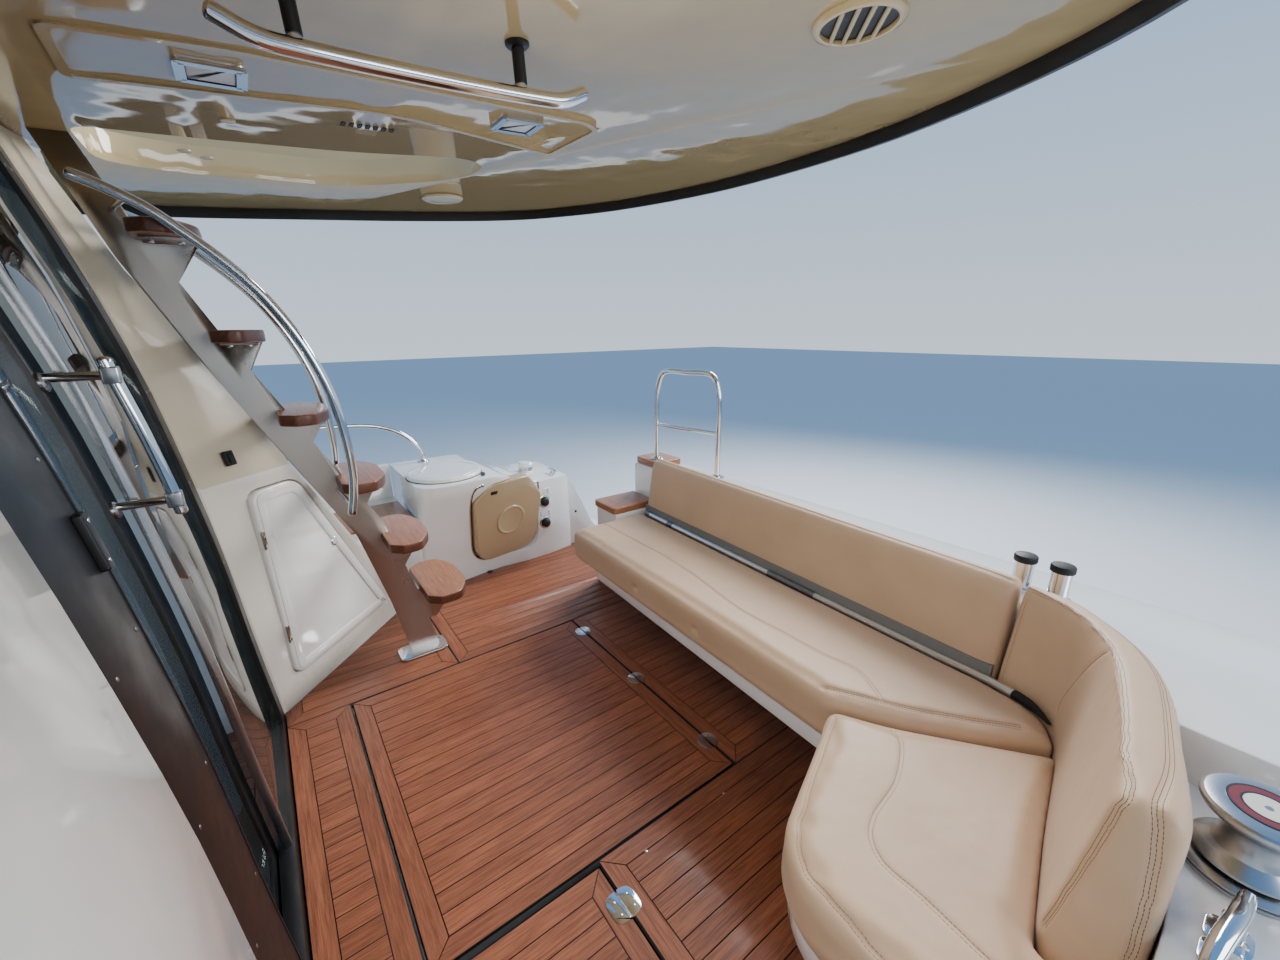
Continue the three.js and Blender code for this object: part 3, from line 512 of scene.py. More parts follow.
def vectors(items, key):
    """One vector of each item of a mesh, as an array."""
    values = np.zeros(len(items) * 3, np.float32)
    items.foreach_get(key, values)
    return values.reshape(-1, 3).astype(float)


def smooth(thing, angle=32):
    mesh = thing.data
    mesh.polygons.foreach_set("use_smooth", np.ones(len(mesh.polygons), bool))
    mesh.set_sharp_from_angle(angle=math.radians(angle))


def piece(name, shapes, material, body="cockpit", angle=32):
    """One object made of closed shapes, riding on its body. It replaces the CAD node of its name, if any."""
    shape = joined([facing_out(s) for s in shapes])
    thing = bpy.data.objects.new(name, mesh_of(name, shape))
    bpy.context.scene.collection.objects.link(thing)
    thing.data.materials.append(finish[material])
    smooth(thing, angle)
    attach(thing, body)
    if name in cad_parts:
        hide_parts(name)
    return thing


def paint(thing, materials, choose):
    """Gives each face the material whose number choose(centres, normals) returns."""
    for material in materials:
        thing.data.materials.append(finish[material])
    faces = thing.data.polygons
    picked = choose(vectors(faces, "center"), vectors(faces, "normal"))
    faces.foreach_set("material_index", picked.astype(np.int32))


def keep_solid(node, material, edge=2.0, angle=32):
    """A CAD node whose shape is right: its finish, and its edges broken by a weld and a bevel."""
    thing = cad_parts[node]
    thing.data.materials.clear()
    thing.data.materials.append(finish[material])
    thing.data.polygons.foreach_set("use_smooth", np.ones(len(thing.data.polygons), bool))
    weld = thing.modifiers.new("weld", "WELD")
    weld.merge_threshold = 0.00005
    if edge:
        bevel = thing.modifiers.new("edge", "BEVEL")
        bevel.width = edge * MM
        bevel.segments = 3
        bevel.limit_method = "ANGLE"
        bevel.angle_limit = math.radians(angle)
        bevel.harden_normals = True
        bevel.use_clamp_overlap = True
    return thing


# Mouldings that keep their CAD shape: node, finish, and the width of its broken edge in millimetres

MOULDINGS = [
    ("hull_and_sole", "gelcoat", 8.0),
    ("coaming_transom", "gelcoat", 3.0),
    ("end_box", "gelcoat", 5.0),
    ("sofa_base", "gelcoat", 4.0),
    ("quarter_starboard", "gelcoat", 12.0),
    ("side_deck_starboard", "gelcoat", 6.0),
    ("side_deck_port", "gelcoat", 6.0),
    ("bulkhead_port", "gelcoat", 3.0),
    ("saloon_side_port", "gelcoat", 3.0),
]


class YACHT_OT_mouldings(bpy.types.Operator):
    """White moulded surfaces: hull, coaming, side decks, quarter, boxes and bulkheads"""
    bl_idname = "yacht.mouldings"
    bl_label = "Mouldings"

    def execute(self, context):
        for node, material, edge in MOULDINGS:
            keep_solid(node, material, edge)
        return {"FINISHED"}


# Deck: each panel is a rectangle in millimetres with mitred border planks round fore-and-aft planks

SOLE_PANELS = [
    ((-577, 568), (-1190, -393)),
    ((-1280, -580), (-1190, 169)),
    ((-1600, -1283), (-1190, 846)),
    ((-587, 568), (633, 846)),
    ((-1280, -590), (663, 846)),
    ((571, 1440), (-1190, 190)),
    ((571, 1440), (196, 846)),
]
CENTRE_PANEL = ((-571, 562), (-384, 624))
PORT_PANEL = ((-1274, -596), (178, 654))
SALOON_PANEL = ((-1222, 668), (894, 1250))
DECK_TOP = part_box("sole_teak")[1].z


def panel_planks(panel, sizes):
    """Corners of every plank of a panel, shape (planks, 4, 2) in metres, before the seams are taken off."""
    (x0, x1), (y0, y1) = np.array(panel) * MM
    b = sizes.border
    quads = [
        [(x0, y0), (x1, y0), (x1 - b, y0 + b), (x0 + b, y0 + b)],
        [(x1, y0), (x1, y1), (x1 - b, y1 - b), (x1 - b, y0 + b)],
        [(x1, y1), (x0, y1), (x0 + b, y1 - b), (x1 - b, y1 - b)],
        [(x0, y1), (x0, y0), (x0 + b, y0 + b), (x0 + b, y1 - b)],
    ]
    count = max(1, round((x1 - x0 - 2 * b) / sizes.pitch))
    edges = np.linspace(x0 + b, x1 - b, count + 1)
    for left, right in zip(edges[:-1], edges[1:]):
        quads.append([(left, y0 + b), (right, y0 + b), (right, y1 - b), (left, y1 - b)])
    return np.array(quads)


def plank_shapes(panels, sizes, thick=0.0027):
    """Planks as prisms: the quad, shrunk by half a seam, with a small chamfer round its top."""
    top = DECK_TOP + sizes.proud
    chamfer = 0.0005
    levels = [(top - thick, 0.0), (top - chamfer, 0.0), (top, chamfer)]
    shapes = []
    for panel in panels:
        for quad in panel_planks(panel, sizes):
            rings = [np.column_stack([grown(quad, -sizes.seam / 2 - inset), np.full(4, z)])
                     for z, inset in levels]
            shapes.append(stacked(rings))
    return shapes


def grain_of_planks(thing, panels, sizes):
    """Sets "grain" along each plank and one "tone" for each plank that holds a face's centre."""
    centre = vectors(thing.data.polygons, "center").astype(np.float32)
    across = np.zeros(len(centre), bool)
    tone = np.zeros(len(centre), np.float32)
    for number, panel in enumerate(panels):
        (x0, x1), (y0, y1) = np.array(panel) * MM
        from_side = np.minimum(centre[:, 0] - x0, x1 - centre[:, 0])
        from_end = np.minimum(centre[:, 1] - y0, y1 - centre[:, 1])
        inside = (from_side > 0) & (from_end > 0)
        end_plank = inside & (from_end < sizes.border) & (from_end < from_side)
        across |= end_plank
        row = np.floor((centre[:, 0] - x0) / sizes.pitch)
        row[end_plank] = 60 + (centre[end_plank, 1] > (y0 + y1) / 2)
        tone[inside] = (np.sin(row * 12.9898 + number * 78.233)[inside] * 43758.5453) % 1.0
    set_grain(thing, across, tone * 10)


def set_grain(thing, across, tone):
    """UV map "grain" in metres: u runs along the grain, v over it and down the sides."""
    mesh = thing.data
    corner = np.zeros(len(mesh.loops), np.int32)
    mesh.loops.foreach_get("vertex_index", corner)
    x, y, z = vectors(mesh.vertices, "co")[corner].T
    size = np.zeros(len(mesh.polygons), np.int32)
    mesh.polygons.foreach_get("loop_total", size)
    turn = np.repeat(across, size)
    shift = np.repeat(tone, size)
    along = np.where(turn, x, y) + shift
    over = np.where(turn, y, x) + 0.9 * z
    grain = mesh.uv_layers.new(name="grain")
    grain.data.foreach_set("uv", np.stack([along, over], 1).astype(np.float32).ravel())
    tones = mesh.attributes.new("tone", "FLOAT", "FACE")
    tones.data.foreach_set("value", tone.astype(np.float32))


def applied(thing):
    """Replaces the piece's mesh by what its modifiers make of it."""
    evaluated = thing.evaluated_get(bpy.context.evaluated_depsgraph_get())
    made = bpy.data.meshes.new_from_object(evaluated)
    thing.modifiers.clear()
    thing.data = made
    return thing


def cut_to(thing, node, lift):
    """Keeps what lies inside a CAD node's outline: an intersection with a merged copy of the node, lifted."""
    cutter = bpy.data.objects.new("cutter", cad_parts[node].data.copy())
    bpy.context.scene.collection.objects.link(cutter)
    cutter.data.transform(Matrix.Translation((0, 0, lift)))
    weld = cutter.modifiers.new("weld", "WELD")
    weld.merge_threshold = 0.00002
    cut = thing.modifiers.new("cut", "BOOLEAN")
    cut.operation = "INTERSECT"
    cut.solver = "EXACT"
    cut.object = cutter
    applied(thing)
    bpy.data.objects.remove(cutter)


def hinge_half(ring, centre, side, top):
    """Half of a flush hinge: the plate's outline cut 3 mm short of the pin, and its two screws."""
    half = ring[ring[:, 1] * side > 0]
    half = half[np.argsort(half[:, 0] * side)]
    edge = 0.003 * side
    plan = np.concatenate([half, [(half[-1, 0], edge), (half[0, 0], edge)]])
    plan = plan if area(plan) > 0 else plan[::-1]
    shapes = [slab(plan + centre, top - 0.002, top + 0.0016, 0.0008, 2)]
    for x in (-0.018, 0.018):
        screw = circle(0.0042, 16, (x + centre[0], side * 0.020 + centre[1]))
        shapes.append(slab(screw, top, top + 0.0026, 0.0008, 2))
    return shapes


def hinge(name, centre, half_width, squareness, lid_body):
    """A flush hinge over a hatch's gap: one half on the deck, one on the lid, a pin between them.

    The outline is |x|^n + |y|^n = r^n, with n the squareness."""
    turn = np.linspace(0, 2 * math.pi, 64, endpoint=False)
    c, s = np.cos(turn), np.sin(turn)
    reach = half_width * MM / (np.abs(c) ** squareness + np.abs(s) ** squareness) ** (1 / squareness)
    ring = np.stack([reach * c, reach * s], 1)
    spot = np.array(centre) * MM
    top = DECK_TOP + 0.0012
    piece(f"{name}_deck", hinge_half(ring, spot, -1, top), "chrome")
    piece(f"{name}_lid", hinge_half(ring, spot, 1, top), "chrome", lid_body)
    pin = spline([(centre[0] + half_width * end, centre[1], 600) for end in (-0.9, 0.9)], 6)
    piece(f"{name}_pin", [tube(pin, 0.0024, 12)], "satin")


class YACHT_OT_deck(bpy.types.Operator):
    """Teak planks over black caulking on the sole, the hatches and the saloon floor, with flush hinges"""
    bl_idname = "yacht.deck"
    bl_label = "Deck"

    def execute(self, context):
        sizes = context.scene.deck_sizes
        laid_on = [
            ("sole_teak", "planks_sole", SOLE_PANELS, "cockpit"),
            ("hatch_centre", "planks_hatch_centre", [CENTRE_PANEL], "hatch_centre_lid"),
            ("hatch_port", "planks_hatch_port", [PORT_PANEL], "hatch_port_lid"),
            ("saloon_floor", "planks_saloon", [SALOON_PANEL], "cockpit"),
        ]
        for node, name, panels, body in laid_on:
            keep_solid(node, "caulk", 0)
            planks = piece(name, plank_shapes(panels, sizes), "deck", body, angle=20)
            if len(panels) > 1:
                cut_to(planks, node, 0.01)
            grain_of_planks(planks, panels, sizes)
        for number, x in enumerate((445, -5, -444), 1):
            hinge(f"hinge_{number}", (x, -384), 37, 2.2, "hatch_centre_lid")
        hinge("hinge_port", (-716, 178), 41, 3.2, "hatch_port_lid")
        for number, (x, y) in enumerate([(-639, 45), (-638, -272)], 1):
            top = DECK_TOP + sizes.proud
            piece(f"stud_{number}",
                  [slab(circle(0.005, 16, (x * MM, y * MM)), top - 0.001, top + 0.002, 0.001, 2)],
                  "chrome")
        return {"FINISHED"}


# Steps and treads of varnished teak

# Tread: top, aft edge, fore edge
TREADS = [(950, 80, 275), (1220, 214, 392), (1500, 345, 520), (1775, 500, 668), (2057, 648, 800),
          (2365, 760, 930)]
TREAD_SIDES = (568, 990)
TREAD_THICK = 40
# Step: name, outline, underside, top
STEPS = [
    ("end_step_lower", [(655, -998), (866, -1008), (872, -728, 30), (655, -728, 20)], 1075.3, 1110),
    ("end_step_upper", [(655, -1205, 20), (872, -1205, 30), (866, -1030, 20), (655, -1022, 20)],
     1285.3, 1320),
    *[(name, [(x0, 145, 14), (x1, 145, 14), (x1, 490, 14), (x0, 490, 14)], 1050.3, 1064)
      for name, x0, x1 in (("teak_pad_starboard", 1305, 1700), ("teak_pad_port", -1700, -1305))],
]


def wooden(name, ring, low, high, edge):
    """A plank step: the outline with quarter-round edges."""
    thing = piece(name, [slab(ring, low * MM, high * MM, edge * MM)], "step")
    count = len(thing.data.polygons)
    # Each step's wood starts elsewhere in the grain, at a place worked out from its name
    start = (sum(map(ord, name)) * 0.37) % 10.0
    set_grain(thing, np.ones(count, bool), np.full(count, start))
    return thing


class YACHT_OT_steps(bpy.types.Operator):
    """Six varnished treads of the stair, two steps at the sofa's end and a pad on each side deck"""
    bl_idname = "yacht.steps"
    bl_label = "Steps"

    def execute(self, context):
        inner, outer = TREAD_SIDES
        middle = (inner + outer) / 2
        for number, (top, aft, fore) in enumerate(TREADS, 1):
            ring = outline([
                (inner + 45, fore, 8), (inner, fore - 45, 8), (inner, aft + 65, 30),
                (middle - 110, aft + 6, 90), (middle + 110, aft + 6, 90),
                (outer, aft + 65, 30), (outer, fore - 45, 8), (outer - 45, fore, 8),
            ])
            tread = wooden(f"tread_{number}", ring, top - TREAD_THICK, top, 6)
            # The treads' sides get the darker teak: painted shade on the faces turned from the light
            paint(tread, ["step_side_shade"], lambda centre, normal: (np.abs(normal[:, 2]) < 0.6).astype(int))
        for name, corners, low, high in STEPS:
            wooden(name, outline(corners), low, high, 5 if "step" in name else 3)
        return {"FINISHED"}


# Sofa: covers blown up by cloth pressure, sunk along their seams and sewn with rows of thread

SEAT_LOW, SEAT_TOP, BACK_TOP = 0.925, 1.050, 1.360
LONG_RISE = 0.016
SEAT_LONG = [
    (628, -888, 40), (640, -446, 60), (-884, -401, 24), (-1020, -470, 60), (-1172, -583, 60),
    (-1316, -702, 8), (-1262, -800, 50), (-1120, -826, 20),
]
SEAT_CHAISE = [
    (-893, -394, 34), (-945, -270, 80), (-1046, 0, 120), (-1150, 72, 60), (-1544, 72, 40), (-1544, -158, 24),
    (-1434, -176, 6), (-1375, -434, 60), (-1326, -690, 8), (-1176, -577, 60), (-1024, -464, 60),
]
CORNER_FOOT = [
    (-1132, -850), (-1262, -822, 70), (-1324, -703, 80), (-1378, -434, 60), (-1437, -188, 24),
    (-1550, -168, 26), (-1550, -290, 30), (-1518, -440, 80), (-1474, -646, 100), (-1406, -784, 100),
    (-1250, -926, 60), (-1132, -932),
]
CORNER_TOP = [
    (-1132, -905), (-1262, -846, 90), (-1358, -728, 80), (-1430, -470, 80), (-1472, -232, 20),
    (-1550, -243, 20), *CORNER_FOOT[6:],
]
LEAN = [
    (-875, 925, 20), (-897, 1125, 120), (-929, 1327, 40), (-955, 1360, 26), (-997, 1360, 40),
    (-1009, 1318, 20), (-997, 925, 10),
]
# How far the backrest runs aft for each millimetre to starboard
BACK_SLOPE = 0.042
BEHIND_TUBE = [(-884, 1045), (-899, 1045), (-905, 1108), (-888, 1108)]
SHEAR = Matrix(((0, 0, 1, 0), (1, 0, -BACK_SLOPE, 0), (0, 1, 0, 0), (0, 0, 0, 1)))


def corner_back():
    """Skin between the foot's and the top's outline, with its top edge rounded like a quarter circle."""
    low, high = outline_pair(CORNER_FOOT, CORNER_TOP)
    rings = []
    foot, top = np.split(rounded(BACK_TOP - SEAT_LOW, 0.026, 5), 2)
    wall = np.array([(rise, 0.0) for rise in np.linspace(0.05, 0.39, 14)])
    for height, inset in np.concatenate([foot, wall, top]):
        z = SEAT_LOW + height
        share = max(0.0, (z - SEAT_TOP) / (BACK_TOP - SEAT_TOP))
        ring = grown(low + (high - low) * share, -inset)
        rings.append(np.column_stack([ring, np.full(len(ring), z)]))
    return stacked(rings)


def outline_pair(first, second, steps=8):
    """Two outlines with the same count of points: both are spaced evenly from corner to corner."""
    def curved(corners):
        corner = np.array([(*c, 0.0)[:3] for c in corners], float)
        points = []
        for i, (x, y, radius) in enumerate(corner):
            here = np.array((x, y))
            back, ahead = corner[i - 1, :2] - here, corner[(i + 1) % len(corner), :2] - here
            reach = [min(max(radius, 1.0), CORNER_SHARE * np.linalg.norm(leg)) for leg in (back, ahead)]
            points.append(quadratic(here + unit(back) * reach[0], here, here + unit(ahead) * reach[1],
                                    steps))
        return np.concatenate(points) * MM
    low, high = curved(first), curved(second)
    return (low, high) if area(low) > 0 else (low[::-1], high[::-1])


def remeshed(thing, voxel):
    step = thing.modifiers.new("voxels", "REMESH")
    step.mode = "VOXEL"
    step.voxel_size = voxel
    softened(thing)


def softened(thing, rounds=4):
    """Applied with the modifiers before it: each round moves every point halfway to its neighbours' mean."""
    soften = thing.modifiers.new("soften", "SMOOTH")
    soften.iterations = rounds
    applied(thing)


def blown_up(thing, sizes, frames_run=20):
    """Cloth pressure swells the cover while its foot is held; each point's move is then capped."""
    rest = vectors(thing.data.vertices, "co")
    foot = rest[:, 2].min()
    held = thing.vertex_groups.new(name="held")
    held.add(np.nonzero(rest[:, 2] < foot + 0.03)[0].tolist(), 1.0, "REPLACE")
    cover = thing.modifiers.new("cover", "CLOTH")
    cover.settings.quality = 6
    cover.settings.mass = 0.4
    cover.settings.tension_stiffness = 25
    cover.settings.compression_stiffness = 25
    cover.settings.shear_stiffness = 12
    cover.settings.bending_stiffness = 4
    cover.settings.vertex_group_mass = "held"
    cover.settings.use_pressure = True
    cover.settings.uniform_pressure_force = 4
    cover.settings.effector_weights.gravity = 0
    cover.point_cache.frame_start = 1
    cover.point_cache.frame_end = frames_run
    scene = bpy.context.scene
    for frame_number in range(1, frames_run + 1):
        scene.frame_set(frame_number)
    applied(thing)
    scene.frame_set(1)
    move = vectors(thing.data.vertices, "co") - rest
    flat = np.linalg.norm(move[:, :2], axis=1)
    move[:, :2] *= np.minimum(1, 0.003 / np.maximum(flat, 1e-9))[:, None]
    move[:, 2] = np.clip(move[:, 2], 0, sizes.swell)
    thing.data.vertices.foreach_set("co", (rest + move).astype(np.float32).ravel())
    thing.vertex_groups.clear()


def refined(thing):
    step = thing.modifiers.new("finer", "SUBSURF")
    step.levels = step.render_levels = 1
    applied(thing)


def sunk(thing, line, depth, width):
    """Pulls the cover in along a seam by depth x exp(-(d / width)^2), with d the distance to the seam."""
    mesh = thing.data
    point, normal = vectors(mesh.vertices, "co"), vectors(mesh.vertices, "normal")
    margin = 4 * width
    near = np.nonzero(np.all((point > line.min(0) - margin) & (point < line.max(0) + margin), 1))[0]
    tree = KDTree(len(line))
    for number, spot in enumerate(line):
        tree.insert(spot, number)
    tree.balance()
    away = np.array([tree.find(spot)[2] for spot in point[near]])
    point[near] -= normal[near] * (depth * np.exp(-(away / width) ** 2))[:, None]
    mesh.vertices.foreach_set("co", point.astype(np.float32).ravel())
    mesh.update()


def on_cover(thing, corners, step=0.003):
    """A seam drawn through points in millimetres, dropped on the cover's nearest surface."""
    line = spline(corners, 400)
    run = np.linalg.norm(np.diff(line, axis=0), axis=1).sum()
    line = even(line, max(8, round(run / step)))
    tree = cover_tree(thing)
    return np.array([tree.find_nearest(spot)[0] for spot in line])


def cover_tree(thing):
    mesh = thing.data
    return BVHTree.FromPolygons([v.co for v in mesh.vertices], [list(p.vertices) for p in mesh.polygons])


def capsules(centre, along, up, length, radius):
    """Short round-ended threads: one template laid at every centre, its axis along the seam."""
    across = unit(np.cross(up, along))
    lift = np.cross(along, across)
    stations = np.array([(-0.5, 0.25), (-0.36, 0.85), (0.0, 1.0), (0.36, 0.85), (0.5, 0.25)])
    turn = np.linspace(0, 2 * math.pi, 6, endpoint=False)
    shapes = []
    ring = np.cos(turn)[:, None, None] * across + np.sin(turn)[:, None, None] * lift
    for k in range(len(centre)):
        rings = [centre[k] + along[k] * length * at + ring[:, k] * radius * wide for at, wide in stations]
        shapes.append(stacked(rings))
    return joined(shapes)


def sewn(name, thing, seams, sizes):
    """Rows of thread along each seam, laid on the cover's surface; seams are (rows, line)."""
    tree = cover_tree(thing)
    laid_at = []
    for rows, line in seams:
        run = np.linalg.norm(np.diff(line, axis=0), axis=1).sum()
        marks = even(line, max(4, round(run / sizes.stitch)))
        steps = unit(np.gradient(marks, axis=0))
        for mark, step in zip(marks[1:-1], steps[1:-1]):
            side = unit(np.cross(step, np.array(tree.find_nearest(mark)[1]))) * sizes.rows
            for row in rows:
                spot, normal, _, _ = tree.find_nearest(mark + side * row)
                laid_at.append((np.array(spot) + np.array(normal) * sizes.thread * 0.15, step,
                                np.array(normal)))
    centre, along, up = (np.array(values) for values in zip(*laid_at))
    shape = capsules(centre, along, up, sizes.stitch * 0.8, sizes.thread / 2)
    return piece(name, [shape], "thread")


# Rows of stitches of a seam: their distances from its line, in row widths
ONE, TWO, THREE = (0,), (-0.7, 0.7), (-1, 0, 1)
# Seams of each cover: rows, and points above the surface that they drop onto
SEAMS = {
    "seat_long": [
        (TWO,
         [(600, -612, 1090), (313, -612, 1090), (100, -612, 1090), (-124, -591, 1090), (-434, -542, 1090),
               (-625, -548, 1090), (-761, -550, 1090), (-868, -564, 1090), (-947, -526, 1090),
               (-986, -498, 1090)]),
        (THREE, [(-848, -417, 1090), (-917, -455, 1090), (-1039, -523, 1090), (-1146, -600, 1090),
                 (-1252, -684, 1090)]),
    ],
    "seat_chaise": [
        (TWO, [(-1036, -460, 1078), (-1081, -416, 1078), (-1101, -381, 1078), (-1134, -292, 1078),
               (-1151, -169, 1078), (-1171, -123, 1078), (-1211, -94, 1078), (-1289, -90, 1078),
               (-1385, -79, 1078), (-1530, -64, 1078)]),
        (TWO, [(-912, -372, 1078), (-937, -318, 1078), (-962, -258, 1078), (-1010, -130, 1078),
               (-1056, -32, 1078), (-1093, 22, 1078), (-1167, 48, 1078), (-1242, 58, 1078),
               (-1530, 58, 1078)]),
    ],
    "backrest_long": [
        (TWO, [(600, -974, 1378), (0, -949, 1378), (-600, -924, 1378), (-1025, -910, 1378),
               (-1108, -898, 1378)]),
    ],
    "backrest_corner": [
        (THREE, [(-1145, -880, 1352), (-1186, -868, 1356), (-1270, -815, 1364), (-1350, -708, 1376),
                 (-1386, -630, 1380), (-1413, -528, 1380), (-1430, -447, 1380), (-1451, -323, 1380),
                 (-1464, -245, 1374), (-1462, -226, 1334), (-1448, -216, 1200), (-1430, -207, 1060)]),
        (THREE, [(-1140, -924, 1380), (-1260, -912, 1380), (-1400, -780, 1380), (-1464, -646, 1380),
                 (-1507, -389, 1380), (-1509, -258, 1376), (-1518, -232, 1340), (-1530, -210, 1280),
                 (-1540, -190, 1170), (-1540, -180, 1070)]),
        (ONE, [(-1356, -712, 1348), (-1330, -744, 1277), (-1305, -768, 1193), (-1292, -778, 1138),
               (-1292, -774, 1104)]),
        (ONE, [(-1150, -891, 1330), (-1143, -850, 1071)]),
    ],
}
DIMPLES = [(60, -430, 990), (-330, -418, 990)]


def beside_back(x):
    """The seat tube's centre in millimetres, in the joint between the seat and the backrest."""
    return x, -877.1 - BACK_SLOPE * x, 1066


class YACHT_OT_sofa(bpy.types.Operator):
    """Seat cushions and backrests in tan leatherette, and the steel tube in the joint between them"""
    bl_idname = "yacht.sofa"
    bl_label = "Sofa"

    def execute(self, context):
        sizes = context.scene.sofa_sizes
        edge = 0.024
        close = 0.003
        long_ring, chaise_ring = (grown(outline(corners), close) for corners in (SEAT_LONG, SEAT_CHAISE))
        shapes = {
            "seat_long": slab(long_ring, SEAT_LOW, SEAT_TOP + LONG_RISE, edge, 6),
            "seat_chaise": slab(chaise_ring, SEAT_LOW, SEAT_TOP, edge, 6),
            "backrest_long": slab(outline(LEAN), -1.128, 0.628, 0.020, 5, SHEAR),
            "backrest_corner": corner_back(),
        }
        for name, shape in shapes.items():
            pad = piece(name, [shape], "leather", angle=180)
            remeshed(pad, sizes.voxel)
            blown_up(pad, sizes)
            softened(pad, 6)
            refined(pad)
            seams = [(rows, on_cover(pad, line)) for rows, line in SEAMS[name]]
            for rows, line in seams:
                sunk(pad, line, 0.0012 + 0.0007 * len(rows), 0.004 + 0.001 * len(rows))
            if name == "seat_long":
                for spot in DIMPLES:
                    sunk(pad, on_cover(pad, [spot, (spot[0] + 3, spot[1], spot[2])]), 0.009, 0.014)
            smooth(pad, 180)
            sewn(f"{name}_stitches", pad, seams, sizes)
        line = spline([*map(beside_back, (600, 0, -900, -985)), (-1078, -831, 1069), (-1170, -811, 1077),
                       (-1240, -785, 1080), (-1284, -758, 1073)], 200)
        bright = line[line[:, 0] > -1.192]
        piece("seat_rail", [tube(bright, 0.0125, 28)], "rail")
        for number, (start, end) in enumerate([(600, 560), (400, 358), (-290, -520)], 1):
            sleeve = rod(beside_back(start), beside_back(end), 0.0140, 28)
            piece(f"seat_rail_sleeve_{number}", [sleeve], "sleeve")
        # The tube's end is drawn black and tapering: painted shade where the tube runs into the dark corner
        taper = np.interp(np.linspace(0, 1, 14), [0, 0.35, 1], [0.0136, 0.0132, 0.004])
        cap = line[line[:, 0] < -1.188]
        piece("seat_rail_shaded_end", [tube(even(cap, 14), taper, 24)], "rubber")
        # A grey strip between the seat tube and the backrest: painted shade where only the shaded gap shows
        piece("tube_gap_shade_strip", [slab(outline(BEHIND_TUBE), -1.118, 0.62, 0.001, 2, SHEAR)], "channel")
        return {"FINISHED"}


# Starboard cabinet: its moulding, the service flap, the round lid, two sockets and small fittings

SERVICE = plane((1330, -392, 951), (0.2, -0.98, 0), (-0.245, 0, 0.97))
FLAP = [(-205, -265, 110), (215, -265, 110), (225, 110, 30), (115, 262, 30), (-150, 265, 30), (-255, 165, 30)]
FLAP_TRIM = [(-213, -275, 114), (224, -275, 114), (240, 110, 60), (232, 274, 40), (-264, 276, 70),
             (-266, 160, 60)]
LID = (1440, -75, 1250.3)
# Socket: name, height
SOCKETS = [("socket_upper", 975), ("socket_lower", 830)]


def border(ring, wide, low, high, radius, place=UPRIGHT):
    """A flat frame round an outline: an outer and an inner wall joined by a rounded top."""
    levels = [(0.0, low), (0.0, high - radius), (radius * 0.3, high - radius * 0.3), (radius, high),
              (wide - radius, high), (wide - radius * 0.3, high - radius * 0.3), (wide, high - radius),
              (wide, low)]
    rings = [np.column_stack([grown(ring, -inset), np.full(len(ring), height)]) for inset, height in levels]
    rings.append(rings[0])
    points, faces = stacked(rings, caps=False)
    return laid(points, place), faces


def screw(spot, place=UPRIGHT, radius=4.0):
    """A shallow domed screw head in millimetres on a plane: a turned profile."""
    profile = [(0, -1), (radius, -1), (radius, 0.4), (radius * 0.8, 1.1), (radius * 0.45, 1.4), (0, 1.5)]
    return turned(profile, (*spot, 0.0)[:3], 14, place)


def seated(tree, spot, turn=0.0):
    """Matrix on a skin at the point nearest to a spot in millimetres: n leaves the skin, v climbs it."""
    place, normal, _, _ = tree.find_nearest(Vector(spot) * MM)
    level = Vector((0, 0, 1)).cross(normal) if normal.z < 0.95 else Vector((1, 0, 0))
    return plane(place / MM, level, normal.cross(level)) @ Matrix.Rotation(turn, 4, "Z")


